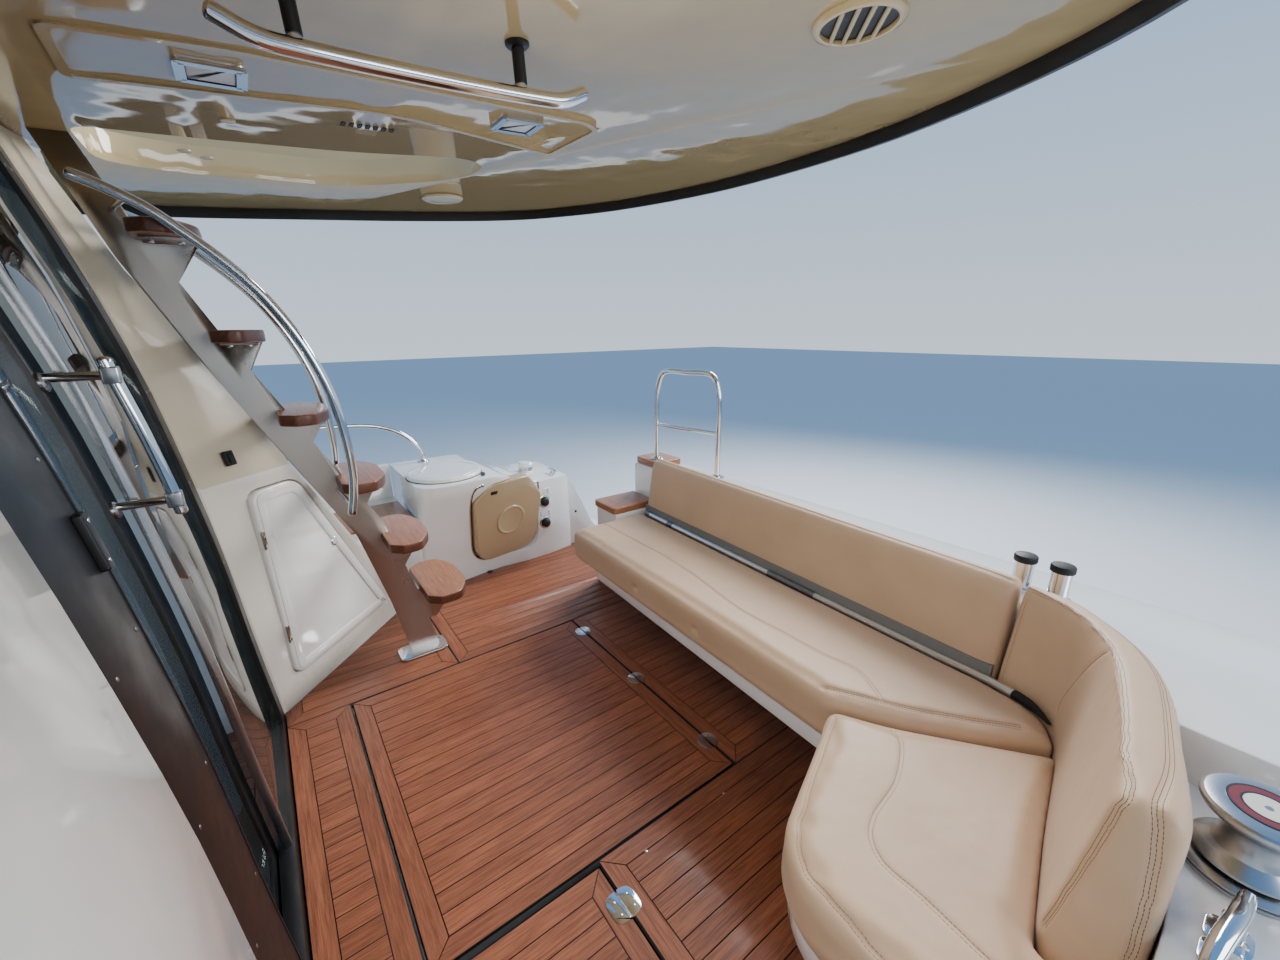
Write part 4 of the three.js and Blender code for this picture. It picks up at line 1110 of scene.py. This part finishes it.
class YACHT_OT_cabinet(bpy.types.Operator):
    """Swelling white cabinet with its beige service flap, round lid, two black sockets and small fittings"""
    bl_idname = "yacht.cabinet"
    bl_label = "Starboard cabinet"

    def execute(self, context):
        cabinet = keep_solid("cabinet_starboard", "gelcoat", 8.0, 40)
        skin = cover_tree(cabinet)
        flap = slab(outline(FLAP), -0.0395, 0.0255, 0.011, 6, SERVICE)
        piece("service_hatch", [flap], "beige", "service_door", 40)
        disc = [(0, 22), (98, 22), (98, 31), (95, 35), (90, 35.8), (84, 34.5), (80, 31.5), (76, 30.5),
                (0, 30)]
        piece("service_disc", [turned(disc, (0, -10, 0), 72, SERVICE)], "beige", "service_door", 50)
        # A black slab at the flap's upper left stands for the dark gap there: painted shadow
        gap_shadow = card(-150, -104, 196, 218, 8)
        piece("service_gap_shadow", [slab(gap_shadow, 0.022, 0.0275, 0.002, 2, SERVICE)], "rubber",
              "service_door")
        # Bright trim in a dark seal round the opening, dropped on the swelling skin
        beads = [("service_trim", 0.0, 0.0042, "chrome"), ("service_seal", -0.006, 0.0034, "rubber")]
        for name, out, radius, material in beads:
            ring = grown(outline(FLAP_TRIM, 12), out)
            ring = np.vstack([ring, ring[:1]])
            spots = laid(np.column_stack([ring, np.zeros(len(ring))]), SERVICE)
            line = np.array([skin.find_nearest(spot)[0] for spot in spots])
            piece(name, [tube(even(line, 160), radius, 12)], material)
        fitting = seated(skin, (1345, -540, 1150))
        shapes = [turned([(0, -6), (24, -6), (24, 4), (20, 8), (9, 9), (9, 16), (0, 17)], place=fitting),
                  turned([(0, -6), (12, -6), (12, 8), (0, 9)], (-38, -12, 0), 32, fitting),
                  laid_tube([(-38, -12, 8), (-20, 2, 14), (0, 0, 15)], 0.005, fitting)]
        piece("service_catch", shapes, "chrome")
        lid = [(0, 0.1), (198, 0.1), (204, 4), (204.6, 9), (202, 17), (197, 21.5), (181, 23.6), (179, 22.2),
               (176, 22.2), (174, 24.2), (118, 29), (60, 31), (0, 31.6)]
        piece("cabinet_lid", [turned(lid, LID, 96)], "gelcoat", "round_lid", 40)
        seal = [(199, -3), (207, -3), (208, 0.6), (206, 1.6), (199, 0)]
        piece("lid_seal", [turned(seal, LID, 72, ring=True)], "rubber")
        slot_ring = circle(0.013, 40) * np.array([4.0, 1.0])
        slot_place = seated(skin, (1300, -250, 1250), -0.32)
        piece("line_slot", [slab(slot_ring, -0.002, 0.0012, 0.0004, 2, slot_place)], "rubber")
        piece("line_slot_rim", [border(grown(slot_ring, 0.004), 0.0045, -0.002, 0.003, 0.0015, slot_place)],
              "chrome")
        cap_place = seated(skin, (1650, -665, 1110))
        cap = [(0, -8), (50, -8), (50, 6), (46, 8), (46, 44), (49, 47), (49, 60), (44, 66), (0, 68)]
        piece("filler_cap", [turned(cap, place=cap_place)], "gelcoat", angle=30)
        piece("filler_band", [turned([(44, 14), (47, 14), (47, 38), (44, 38)], sides=72, place=cap_place,
                                     ring=True)], "alloy")
        horn_place = seated(skin, (1500, -790, 1109))
        horn = [laid_tube([(-52, 0, 27), (-30, 0, 31), (30, 0, 31), (52, 0, 27)], 0.008, horn_place)]
        horn += [laid_tube([(x, 0, -6), (x, 0, 31)], 0.008, horn_place) for x in (-18, 18)]
        piece("small_cleat", horn, "chrome")
        knob = [(0, 0), (34, 0), (34, 5), (30, 9), (27, 10), (26, 30), (23, 36), (17, 39.5), (0, 40)]
        base = [(31, 3), (42, 3), (42, 10), (40.5, 12.5), (37, 14), (31, 14)]
        back_plate = card(-44, 44, -50, 84, 10)
        for name, z in SOCKETS:
            place = plane((1388, -660, z), (0, -1, 0), (0, 0, 1))
            piece(name, [turned(knob, sides=40, place=place)], "rubber")
            piece(f"{name}_base", [turned(base, sides=72, place=place, ring=True)], "chrome")
            piece(f"{name}_plate", [slab(back_plate, -0.004, 0.0088, 0.002, 3, place)], "gelcoat")
            screws = [screw((x, y, 8.8), place, 5) for x in (-28, 28) for y in (56, 72)]
            piece(f"{name}_screws", screws, "satin")
        quarter = seated(cover_tree(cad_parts["quarter_starboard"]), (1455, -930, 825))
        piece("quarter_vent", [turned([(0, -3), (9, -3), (9, 1.5), (6, 3), (0, 3)], sides=24, place=quarter)],
              "rubber")
        return {"FINISHED"}


def laid_tube(points, radius, place):
    """A tube through points in millimetres on a plane."""
    return tube(laid(spline(points, 16), place), radius, 16)


# Stair, bulkhead and wing wall

RAKE = [(850, 600), (880, 950), (905, 1300), (938, 1600), (980, 1900), (1030, 2140), (1085, 2350),
        (1150, 2560), (1165, 2620)]
HANDRAIL = [(508, 1405), (492, 1480), (484, 1560), (487, 1690), (504, 1822), (535, 1939), (584, 2057),
            (648, 2166), (721, 2253), (791, 2319), (865, 2380), (942, 2423), (1000, 2447)]
HANDRAIL_PINS = [((505, 1440), (522, 1440)), ((905, 2403), (965, 2403))]
LOCKER = plane((672, 846, 600), (0.712, -0.702, 0), (0.02, 0.02, 1))
LOCKER_PLATE = [(84, 112, 50), (690, 112, 50), (296, 886, 60), (84, 886, 50)]


def rake_at(z):
    """The bulkhead's y in millimetres at a height, along the smooth line through its rake."""
    line = spline([(0, *point) for point in RAKE], 240) / MM
    return float(np.interp(z, line[:, 2], line[:, 1]))


def raked_plane(x, z, lift=0.0):
    """Matrix of the bulkhead's aft face at a height: u to starboard, v up the rake, n aft."""
    ahead = Vector((0, rake_at(z + 40) - rake_at(z - 40), 80)).normalized()
    place = plane((x, rake_at(z), z), (1, 0, 0), tuple(ahead))
    return place @ Matrix.Translation((0, 0, lift * MM))


def strip(x0, x1, z0, z1, low, high, steps=40):
    """A band on the raked aft face: sections along the rake, its faces low and high from the profile."""
    heights = np.linspace(z0, z1, steps)
    rings = []
    for z in heights:
        y = rake_at(z)
        rings.append([(x0, y - low, z), (x1, y - low, z), (x1, y - high, z), (x0, y - high, z)])
    return stacked(np.array(rings) * MM)


class YACHT_OT_stair(bpy.types.Operator):
    """Brushed steel stringer and two polished handrails"""
    bl_idname = "yacht.stair"
    bl_label = "Stair"

    def execute(self, context):
        keep_solid("stair_stringer", "satin", 1.5)
        plate_ring = card(717, 833, 192, 398, 28)
        shapes = [slab(plate_ring, 0.6115, 0.6140, 0.001, 2)]
        shapes += [screw((x, y, 614), radius=7) for x in (733, 817) for y in (212, 378)]
        piece("stair_foot_plate", shapes, "chrome")
        bolts = []
        for top, aft, fore in TREADS:
            for x in (-95, 95):
                for y in (aft + 55, fore - 45):
                    place = plane((779 + x, y, top - 48.3), (1, 0, 0), (0, -1, 0))
                    bolts.append(turned([(0, -1), (9, -1), (9, 5), (6, 7), (0, 7)], sides=6, place=place))
        piece("stair_bolts", bolts, "chrome")
        for name, x, inner in (("handrail_inboard", 536, 766), ("handrail_outboard", 1022, 784)):
            shapes = [tube(spline([(x, y, z) for y, z in HANDRAIL], 90), 0.015, 24)]
            for start, end in HANDRAIL_PINS:
                shapes.append(rod((x, *start), (inner, *end), 0.008, 16))
            piece(name, shapes, "chrome")
        return {"FINISHED"}


class YACHT_OT_bulkhead(bpy.types.Operator):
    """Black raked frame, tinted panes and the sliding leaf with its bar handle"""
    bl_idname = "yacht.bulkhead"
    bl_label = "Glass bulkhead"

    def execute(self, context):
        for node, material, edge in [
                ("bulkhead_frame", "frame", 2.5), ("glass_fixed", "glass", 0.5), ("glass_edge", "alloy", 1.5),
                ("door_leaf_frame", "frame", 2.0), ("door_leaf_glass", "glass", 0.5)]:
            keep_solid(node, material, edge)
        heights = range(720, 2500, 290)
        screws = [screw((0, 0), raked_plane(x, z)) for x in (-612, -456, 596, 644) for z in heights]
        piece("frame_screws", screws, "satin")
        seals = [strip(-430, -424, 646, 2504, -8, 1.5), strip(564, 569.5, 646, 2504, -8, 1.5)]
        piece("frame_seals", seals, "rubber")
        strike = card(-14, 14, -48, 48, 6)
        box = raked_plane(-452, 1745)
        piece("strike_box", [slab(strike, -0.002, 0.012, 0.003, 3, box)], "frame")
        piece("strike_screws", [screw((0, v, 12), box, 4) for v in (-34, 34)], "chrome")
        x, out, low, high = -58, 55, 1700, 1970
        rod = spline([(x, rake_at(z) - out, z) for z in (low - 30, (low + high) / 2, high + 30)], 30)
        shapes = [tube(rod, 0.012, 24)]
        for z in (low, high):
            spur = spline([(x, rake_at(z) + 45.5, z), (x, rake_at(z) - out, z)], 6)
            shapes.append(tube(spur, 0.009, 20, False))
        piece("door_handle", shapes, "chrome", "door_leaf")
        clamps = []
        for z in (low, high):
            clamps.append(block((x - 13, x + 13), (rake_at(z) - out - 13, rake_at(z) - out + 16),
                                (z - 17, z + 17), 4))
            clamps.append(turned([(0, 0), (19, 0), (19, 5), (15, 9), (0, 9)], sides=32,
                                 place=raked_plane(x, z, -46)))
        piece("door_handle_clamps", clamps, "alloy", "door_leaf")
        runners = [block((x0, x0 + 40), (902, 920), (600.5, 620), 2) for x0 in (-440, -75)]
        piece("door_runners", runners, "rubber", "door_leaf")
        return {"FINISHED"}


class YACHT_OT_wing(bpy.types.Operator):
    """Cream wing wall beside the stair, its white locker door and the switch"""
    bl_idname = "yacht.wing"
    bl_label = "Wing wall"

    def execute(self, context):
        wall = keep_solid("wing_wall", "wing", 7.0, 24)
        paint(wall, ["pale"], lambda centre, normal: (centre[:, 2] < 1.56).astype(int))
        plate_ring = outline(LOCKER_PLATE)
        door = [slab(plate_ring, -0.0297, 0.0150, 0.009, 6, LOCKER)]
        door.append(border(grown(plate_ring, -0.012), 0.034, 0.012, 0.0195, 0.0036, LOCKER))
        piece("locker_door", door, "gelcoat", "locker_leaf", 40)
        lock = [(0, 14), (21, 14), (21, 18), (18, 20.5), (11, 20.5), (10.5, 19), (0, 19)]
        piece("locker_lock", [turned(lock, (420, 560, 0), 40, LOCKER)], "chrome", "locker_leaf")
        for number, v in enumerate((300, 700), 1):
            leafs = card(87, 117, v - 34, v + 34, 5)
            shapes = [slab(leafs, 0.014, 0.0168, 0.0012, 2, LOCKER)]
            shapes += [screw((102, w, 16.5), LOCKER, 4) for w in (v - 22, v, v + 22)]
            piece(f"locker_hinge_{number}", shapes, "chrome", "locker_leaf")
            knuckle = laid(spline([(83, v - 34, 17), (83, v + 34, 17)], 4), LOCKER)
            piece(f"locker_knuckle_{number}", [tube(knuckle, 0.0042, 16)], "satin")
        tilt = plane((745, 829, 1624), (0.72, -0.69, 0), (0, 0.28, 1))
        plate_box = card(-17, 17, -26, 26, 5)
        rocker = card(-9, 9, -17, 17, 2)
        piece("switch",
              [slab(plate_box, -0.012, 0.003, 0.0015, 3, tilt), slab(rocker, 0.002, 0.007, 0.002, 3, tilt)],
              "rubber")
        return {"FINISHED"}


# Rails and fittings

# Side rail: name, side of the boat, height of its aft foot
SIDE_RAILS = [("side_rail_starboard", 1, 1250.8), ("side_rail_port", -1, 1170.8)]
HOOP = [(742, -1090, 1322), (742, -1090, 1500), (736, -1096, 1740), (700, -1104, 1812), (540, -1130, 1822),
        (372, -1158, 1812), (336, -1166, 1740), (330, -1170, 1500), (330, -1170, 1287)]
FOOT = [(14.4, 0), (38, 0), (38, 2.5), (35, 5.5), (22, 8), (17, 14), (14.4, 14)]


def foot_at(spot, radius=14.0):
    """A flange round a rail's foot: the profile scaled to the tube."""
    scale = radius / 14.0
    return turned([(r * scale, z * scale) for r, z in FOOT], spot, ring=True)


class YACHT_OT_rails(bpy.types.Operator):
    """Polished steel rails on the quarters and the hoop beside the gate"""
    bl_idname = "yacht.rails"
    bl_label = "Rails"

    def execute(self, context):
        for name, hand, foot in SIDE_RAILS:
            x = hand * 1872
            run = [(hand * 1835, -60, foot), (hand * 1835, -60, foot + 50), (hand * 1850, 20, 1420),
                   (x, 170, 1495), (x, 560, 1525), (x, 900, 1535), (x, 1150, 1538), (x, 1237, 1538)]
            shapes = [tube(spline(run, 120), 0.014, 24, False)]
            feet = [foot_at((hand * 1835, -60, foot))]
            for y, top in ((560, 1524), (1150, 1537)):
                shapes.append(tube(spline([(x, y, 1255.4), (x, y, top)], 6), 0.011, 20, False))
                feet.append(foot_at((x, y, 1255.4), 11.0))
            piece(name, shapes, "chrome")
            piece(f"{name}_feet", feet, "chrome")
        bar_line = spline([(742, -1092, 1520), (332, -1168, 1520)], 6)
        hoop = [tube(spline(HOOP, 160), 0.014, 24, False), tube(bar_line, 0.011, 20, False)]
        piece("hoop_rail", hoop, "chrome")
        feet = [foot_at((742, -1090, 1320.4)), foot_at((330, -1170, 1285.4))]
        piece("hoop_feet", feet, "chrome")
        return {"FINISHED"}


CAPSTAN = (-1615, -470, 1170)
CAPSTAN_BASE = [(0, 0.3), (80, 0.3), (82, 2), (82, 7), (79, 8), (79, 10.5), (82, 11.5), (82, 13.5), (79, 16),
                (58, 22), (22, 22.5), (22, 26.7), (0, 26.7)]
CAPSTAN_DRUM = [(0, 27), (68, 27), (70, 28.5), (70, 33), (66, 37.5), (56, 42.5), (48, 50), (44, 60), (43, 70),
                (44, 83), (47.5, 94), (56, 104), (67, 110.5), (73, 115), (76, 121), (75, 127), (71, 130.5),
                (62, 132.5), (50, 133), (0, 133)]


class YACHT_OT_fittings(bpy.types.Operator):
    """Capstan, mooring cleat, two rod holders and the small deck fitting"""
    bl_idname = "yacht.fittings"
    bl_label = "Fittings"

    def execute(self, context):
        piece("capstan_base", [turned(CAPSTAN_BASE, CAPSTAN, 96)], "alloy", angle=24)
        piece("capstan_drum", [turned(CAPSTAN_DRUM, CAPSTAN, 96)], "alloy", "capstan_head", 24)
        rings = [("capstan_badge", 30, 46, 132.2, 133.8, "red"),
                 ("capstan_badge_edge", 44.5, 47.5, 132, 134, "rubber"),
                 ("capstan_middle_edge", 28.5, 31.5, 132, 134, "rubber")]
        for name, inner, outer, low, high, material in rings:
            section = [(inner, low), (outer, low), (outer, high), (inner, high)]
            piece(name, [turned(section, CAPSTAN, 64, ring=True)], material, "capstan_head")
        middle = [(0, 132), (28.4, 132), (28.4, 133.6), (6, 133.9), (5, 132.8), (0, 132.8)]
        piece("capstan_middle", [turned(middle, CAPSTAN, 48)], "pale", "capstan_head")
        horn = spline([(-1622, -370, 1206), (-1618, -320, 1212), (-1606, -240, 1212), (-1600, -190, 1206)],
                      40)
        wide = 0.0130 - 0.0035 * np.abs(np.linspace(-1, 1, 40)) ** 3
        legs = [block((-1629, -1601), (y, y + 24), (1170.4, 1208), 6) for y in (-318, -266)]
        piece("mooring_cleat", [tube(horn, wide, 24), *legs], "chrome")
        pads = [card(-1641, -1589, y - 16, y + 40, 18) for y in (-318, -266)]
        piece("cleat_pads", [slab(ring, 1.1704, 1.1745, 0.0015, 2) for ring in pads], "chrome")
        tube_wall = [(0, 1285.3), (34, 1285.3), (35, 1287), (34, 1290), (30, 1292.5), (25.5, 1294),
                     (25, 1300), (25, 1372), (0, 1372)]
        cap = [(0, 1372.2), (29, 1372.2), (30, 1375), (30, 1388), (28, 1392), (20, 1395), (0, 1396)]
        for name, x in (("rod_holder_inboard", -1090), ("rod_holder_outboard", -1180)):
            piece(name, [turned(tube_wall, (x, -1040, 0), 48)], "chrome")
            piece(f"{name}_cap", [turned(cap, (x, -1040, 0), 48)], "rubber")
        nut = [(0, 599.8), (17, 599.8), (18, 602), (16, 605.5), (9, 607), (0, 607)]
        piece("deck_drain", [turned(nut, (1362, -256, 0), 32)], "rubber")
        return {"FINISHED"}


# Flybridge overhang: everything here is laid on the tilted moulding, with its own heights in millimetres

TILTED = Matrix.Translation((0, 0, 2.603)) @ Matrix.Rotation(-0.05, 4, "X")
RECESS = [(40, 920, 30), (0, 630, 40), (30, -260, 40), (80, -330, 30), (390, -310, 40), (230, 250, 120),
          (310, 930, 30)]
# Light: name, y
LAMPS = [("ceiling_light_fore", 665), ("ceiling_light_aft", -80)]
# Speaker: name, x, y, finish, slot
SPEAKERS = [("speaker_port", -750, -460, "ceiling", "black_plastic"),
            ("speaker_starboard", 1230, -170, "ceiling", "beige_gelcoat")]
CAPS = [(-905, -345), (-830, 80), (905, 705), (845, 760), (480, 640), (-430, 330)]


def hung(name, shapes, material):
    """A piece whose shapes are given for a level ceiling, laid on the tilted moulding."""
    return piece(name, [(laid(points, TILTED), faces) for points, faces in shapes], material)


class YACHT_OT_overhang(bpy.types.Operator):
    """Cream flybridge overhang with its black rim, grab rail, lights and speakers"""
    bl_idname = "yacht.overhang"
    bl_label = "Overhang"

    def execute(self, context):
        keep_solid("flybridge_overhang", "ceiling", 9.0, 30)
        keep_solid("overhang_rim", "frame", 4.0, 40)
        lip = border(outline(RECESS), 0.012, 0.0505, 0.0405, -0.003)
        hung("light_recess", [lip], "ceiling")
        route = [(-310, 665, -22), (-310, 610, -44), (-310, 540, -50), (-310, 100, -50), (-310, 20, -44),
                 (-310, -35, -22)]
        rail = spline(route, 70)
        posts = ((-310, 550), (-310, 125))
        bars = [tube(rail, 0.016, 28)]
        bars += [rod((x, y, -50), (x, y, 44.7), 0.011) for x, y in posts]
        hung("ceiling_grab_rail", bars, "chrome")
        collar = [(11.5, 44.7), (26, 44.7), (26, 40), (22, 36), (14, 34), (11.5, 34)]
        collars = [turned(collar, (x, y, 0), 40, ring=True) for x, y in posts]
        sleeves = [rod((x, y, -30), (x, y, 36), 0.0135, 24) for x, y in posts]
        hung("grab_rail_posts", collars + sleeves, "frame")
        for name, y in LAMPS:
            ring = card(95, 215, y - 65, y + 65, 10)
            hung(name, [border(ring, 0.017, 0.0447, 0.0372, -0.002)], "chrome")
            inner = grown(ring, -0.0165)
            hung(f"{name}_seal", [border(inner, 0.0035, 0.0447, 0.0385, -0.001)], "rubber")
            hung(f"{name}_lens", [slab(grown(inner, -0.0035), 0.0400, 0.0447, 0.001, 2)], "lens")
        for name, x, y, material, slot in SPEAKERS:
            rim = [(78, 44.7), (96, 44.7), (95.5, 39.5), (92, 35.5), (84, 33), (79, 34), (78, 37)]
            shapes = [turned(rim, (x, y, 0), 96, ring=True)]
            if name == "speaker_port":
                for v in (-45, -15, 15, 45):
                    reach = math.sqrt(80 ** 2 - v ** 2)
                    shapes.append(rod((x - 0.71 * (v + reach), y + 0.71 * (reach - v), 38),
                                      (x - 0.71 * (v - reach), y - 0.71 * (reach + v), 38), 0.0055, 12))
                back = turned([(0, 44.7), (78, 44.7), (78, 42.5), (0, 42.5)], (x, y, 0), 64)
                hung(f"{name}_cone", [back], "rubber")
            else:
                shapes.append(turned([(0, 44.7), (78, 44.7), (78, 36), (50, 34.4), (0, 34)], (x, y, 0), 64))
            hung(name, shapes, material)
        cap = [(0, 44.9), (19, 44.9), (19, 42.8), (16.5, 41.6), (0, 41.2)]
        hung("ceiling_caps", [turned(cap, (x, y, 0), 32) for x, y in CAPS], "ceiling")
        slots = [block((352, 382), (y, y + 11), (43.6, 44.9), 3) for y in range(232, 386, 22)]
        hung("ceiling_vent", slots, "rubber")
        return {"FINISHED"}


# Stage


class YACHT_OT_stage(bpy.types.Operator):
    """Pale floor, soft light and the camera at the photograph's place"""
    bl_idname = "yacht.stage"
    bl_label = "Stage"

    def execute(self, context):
        scene = context.scene
        camera = bpy.data.objects.new("camera", bpy.data.cameras.new("camera"))
        camera.data.lens = 14.41
        camera.data.sensor_width = 36.0
        camera.data.clip_start = 0.02
        right = Vector((-0.5961, -0.8028, -0.0103)).normalized()
        back = Vector((-0.7714, 0.5691, 0.2848)).normalized()
        up = back.cross(right).normalized()
        right = up.cross(back)
        camera.matrix_world = Matrix.Translation((-1.53, 0.71, 2.05)) @ Matrix(
            (right, up, back)).transposed().to_4x4()
        scene.collection.objects.link(camera)
        scene.camera = camera
        ground = np.array([(-40, -40, -0.001), (40, -40, -0.001), (40, 40, -0.001), (-40, 40, -0.001)], float)
        floor = bpy.data.objects.new("floor", mesh_of("floor", (ground, [[0, 1, 2, 3]])))
        scene.collection.objects.link(floor)
        material, _, _ = blank("studio_floor_matt", {"Base Color": rgba(linear("#CFD0CE")), "Roughness": 0.9})
        floor.data.materials.append(material)
        world = bpy.data.worlds.new("studio")
        scene.world = world
        world.use_nodes = True
        tree = world.node_tree
        tree.nodes.clear()
        # A sky that brightens from the horizon upwards
        place = add(tree, "ShaderNodeTexCoord").outputs["Generated"]
        height = add(tree, "ShaderNodeSeparateXYZ", inputs={0: place})
        rise = add(tree, "ShaderNodeMapRange", inputs={0: height.outputs[2], 1: -0.05, 2: 0.7})
        sky = add(tree, "ShaderNodeMix", {"data_type": "RGBA"},
                  {0: rise, 6: rgba(linear("#DCE9F4")), 7: rgba(linear("#6FA3DC"))})
        light = add(tree, "ShaderNodeBackground", inputs={"Color": sky.outputs[2], "Strength": 1.15})
        add(tree, "ShaderNodeOutputWorld", inputs={"Surface": light})
        # Soft lamps: place, aim, size in metres, power in watts
        lamps = [
            ("lamp_aft", (1.6, -5.2, 5.2), (0.0, 0.0, 0.8), 3.0, 620.0),
            ("lamp_port", (-6.0, -2.0, 3.4), (0.3, 0.0, 1.2), 3.5, 260.0),
            ("lamp_inside", (-0.9, 0.55, 2.25), (-0.4, -1.0, 1.1), 0.7, 9.0),
        ]
        for name, spot, aim, size, power in lamps:
            lamp = bpy.data.lights.new(name, "AREA")
            lamp.size = size
            lamp.energy = power
            thing = bpy.data.objects.new(name, lamp)
            thing.matrix_world = Matrix.Translation(spot) @ (
                Vector(aim) - Vector(spot)).to_track_quat("-Z", "Y").to_matrix().to_4x4()
            thing.visible_glossy = name != "lamp_inside"
            scene.collection.objects.link(thing)
        return {"FINISHED"}


OPERATORS = [
    YACHT_OT_stage, YACHT_OT_mouldings, YACHT_OT_deck, YACHT_OT_steps, YACHT_OT_sofa, YACHT_OT_cabinet,
    YACHT_OT_stair, YACHT_OT_bulkhead, YACHT_OT_wing, YACHT_OT_rails, YACHT_OT_fittings, YACHT_OT_overhang,
]
GROUPS = {"cockpit_colours": CockpitColours, "deck_sizes": DeckSizes, "sofa_sizes": SofaSizes}


class YACHT_PT_cockpit(bpy.types.Panel):
    """Lists the sizes, the colours and the operators"""
    bl_idname = "YACHT_PT_cockpit"
    bl_label = "Yacht cockpit section"
    bl_space_type = "VIEW_3D"
    bl_region_type = "UI"
    bl_category = "Cockpit"

    def draw(self, context):
        for group in GROUPS:
            settings = getattr(context.scene, group)
            column = self.layout.column(heading=group.replace("_", " "))
            for key in settings.__annotations__:
                column.prop(settings, key)
        for operator in OPERATORS:
            self.layout.operator(operator.bl_idname)


def register():
    for group in [*GROUPS.values(), *OPERATORS, YACHT_PT_cockpit]:
        bpy.utils.register_class(group)
    for name, group in GROUPS.items():
        setattr(bpy.types.Scene, name, bpy.props.PointerProperty(type=group))


def unregister():
    for name in GROUPS:
        delattr(bpy.types.Scene, name)
    for group in [YACHT_PT_cockpit, *reversed(OPERATORS), *GROUPS.values()]:
        bpy.utils.unregister_class(group)


def main():
    register()
    finish.update(make_materials(bpy.context.scene.cockpit_colours))
    for operator in OPERATORS:
        section, name = operator.bl_idname.split(".")
        getattr(getattr(bpy.ops, section), name)()


if __name__ == "__main__":
    main()
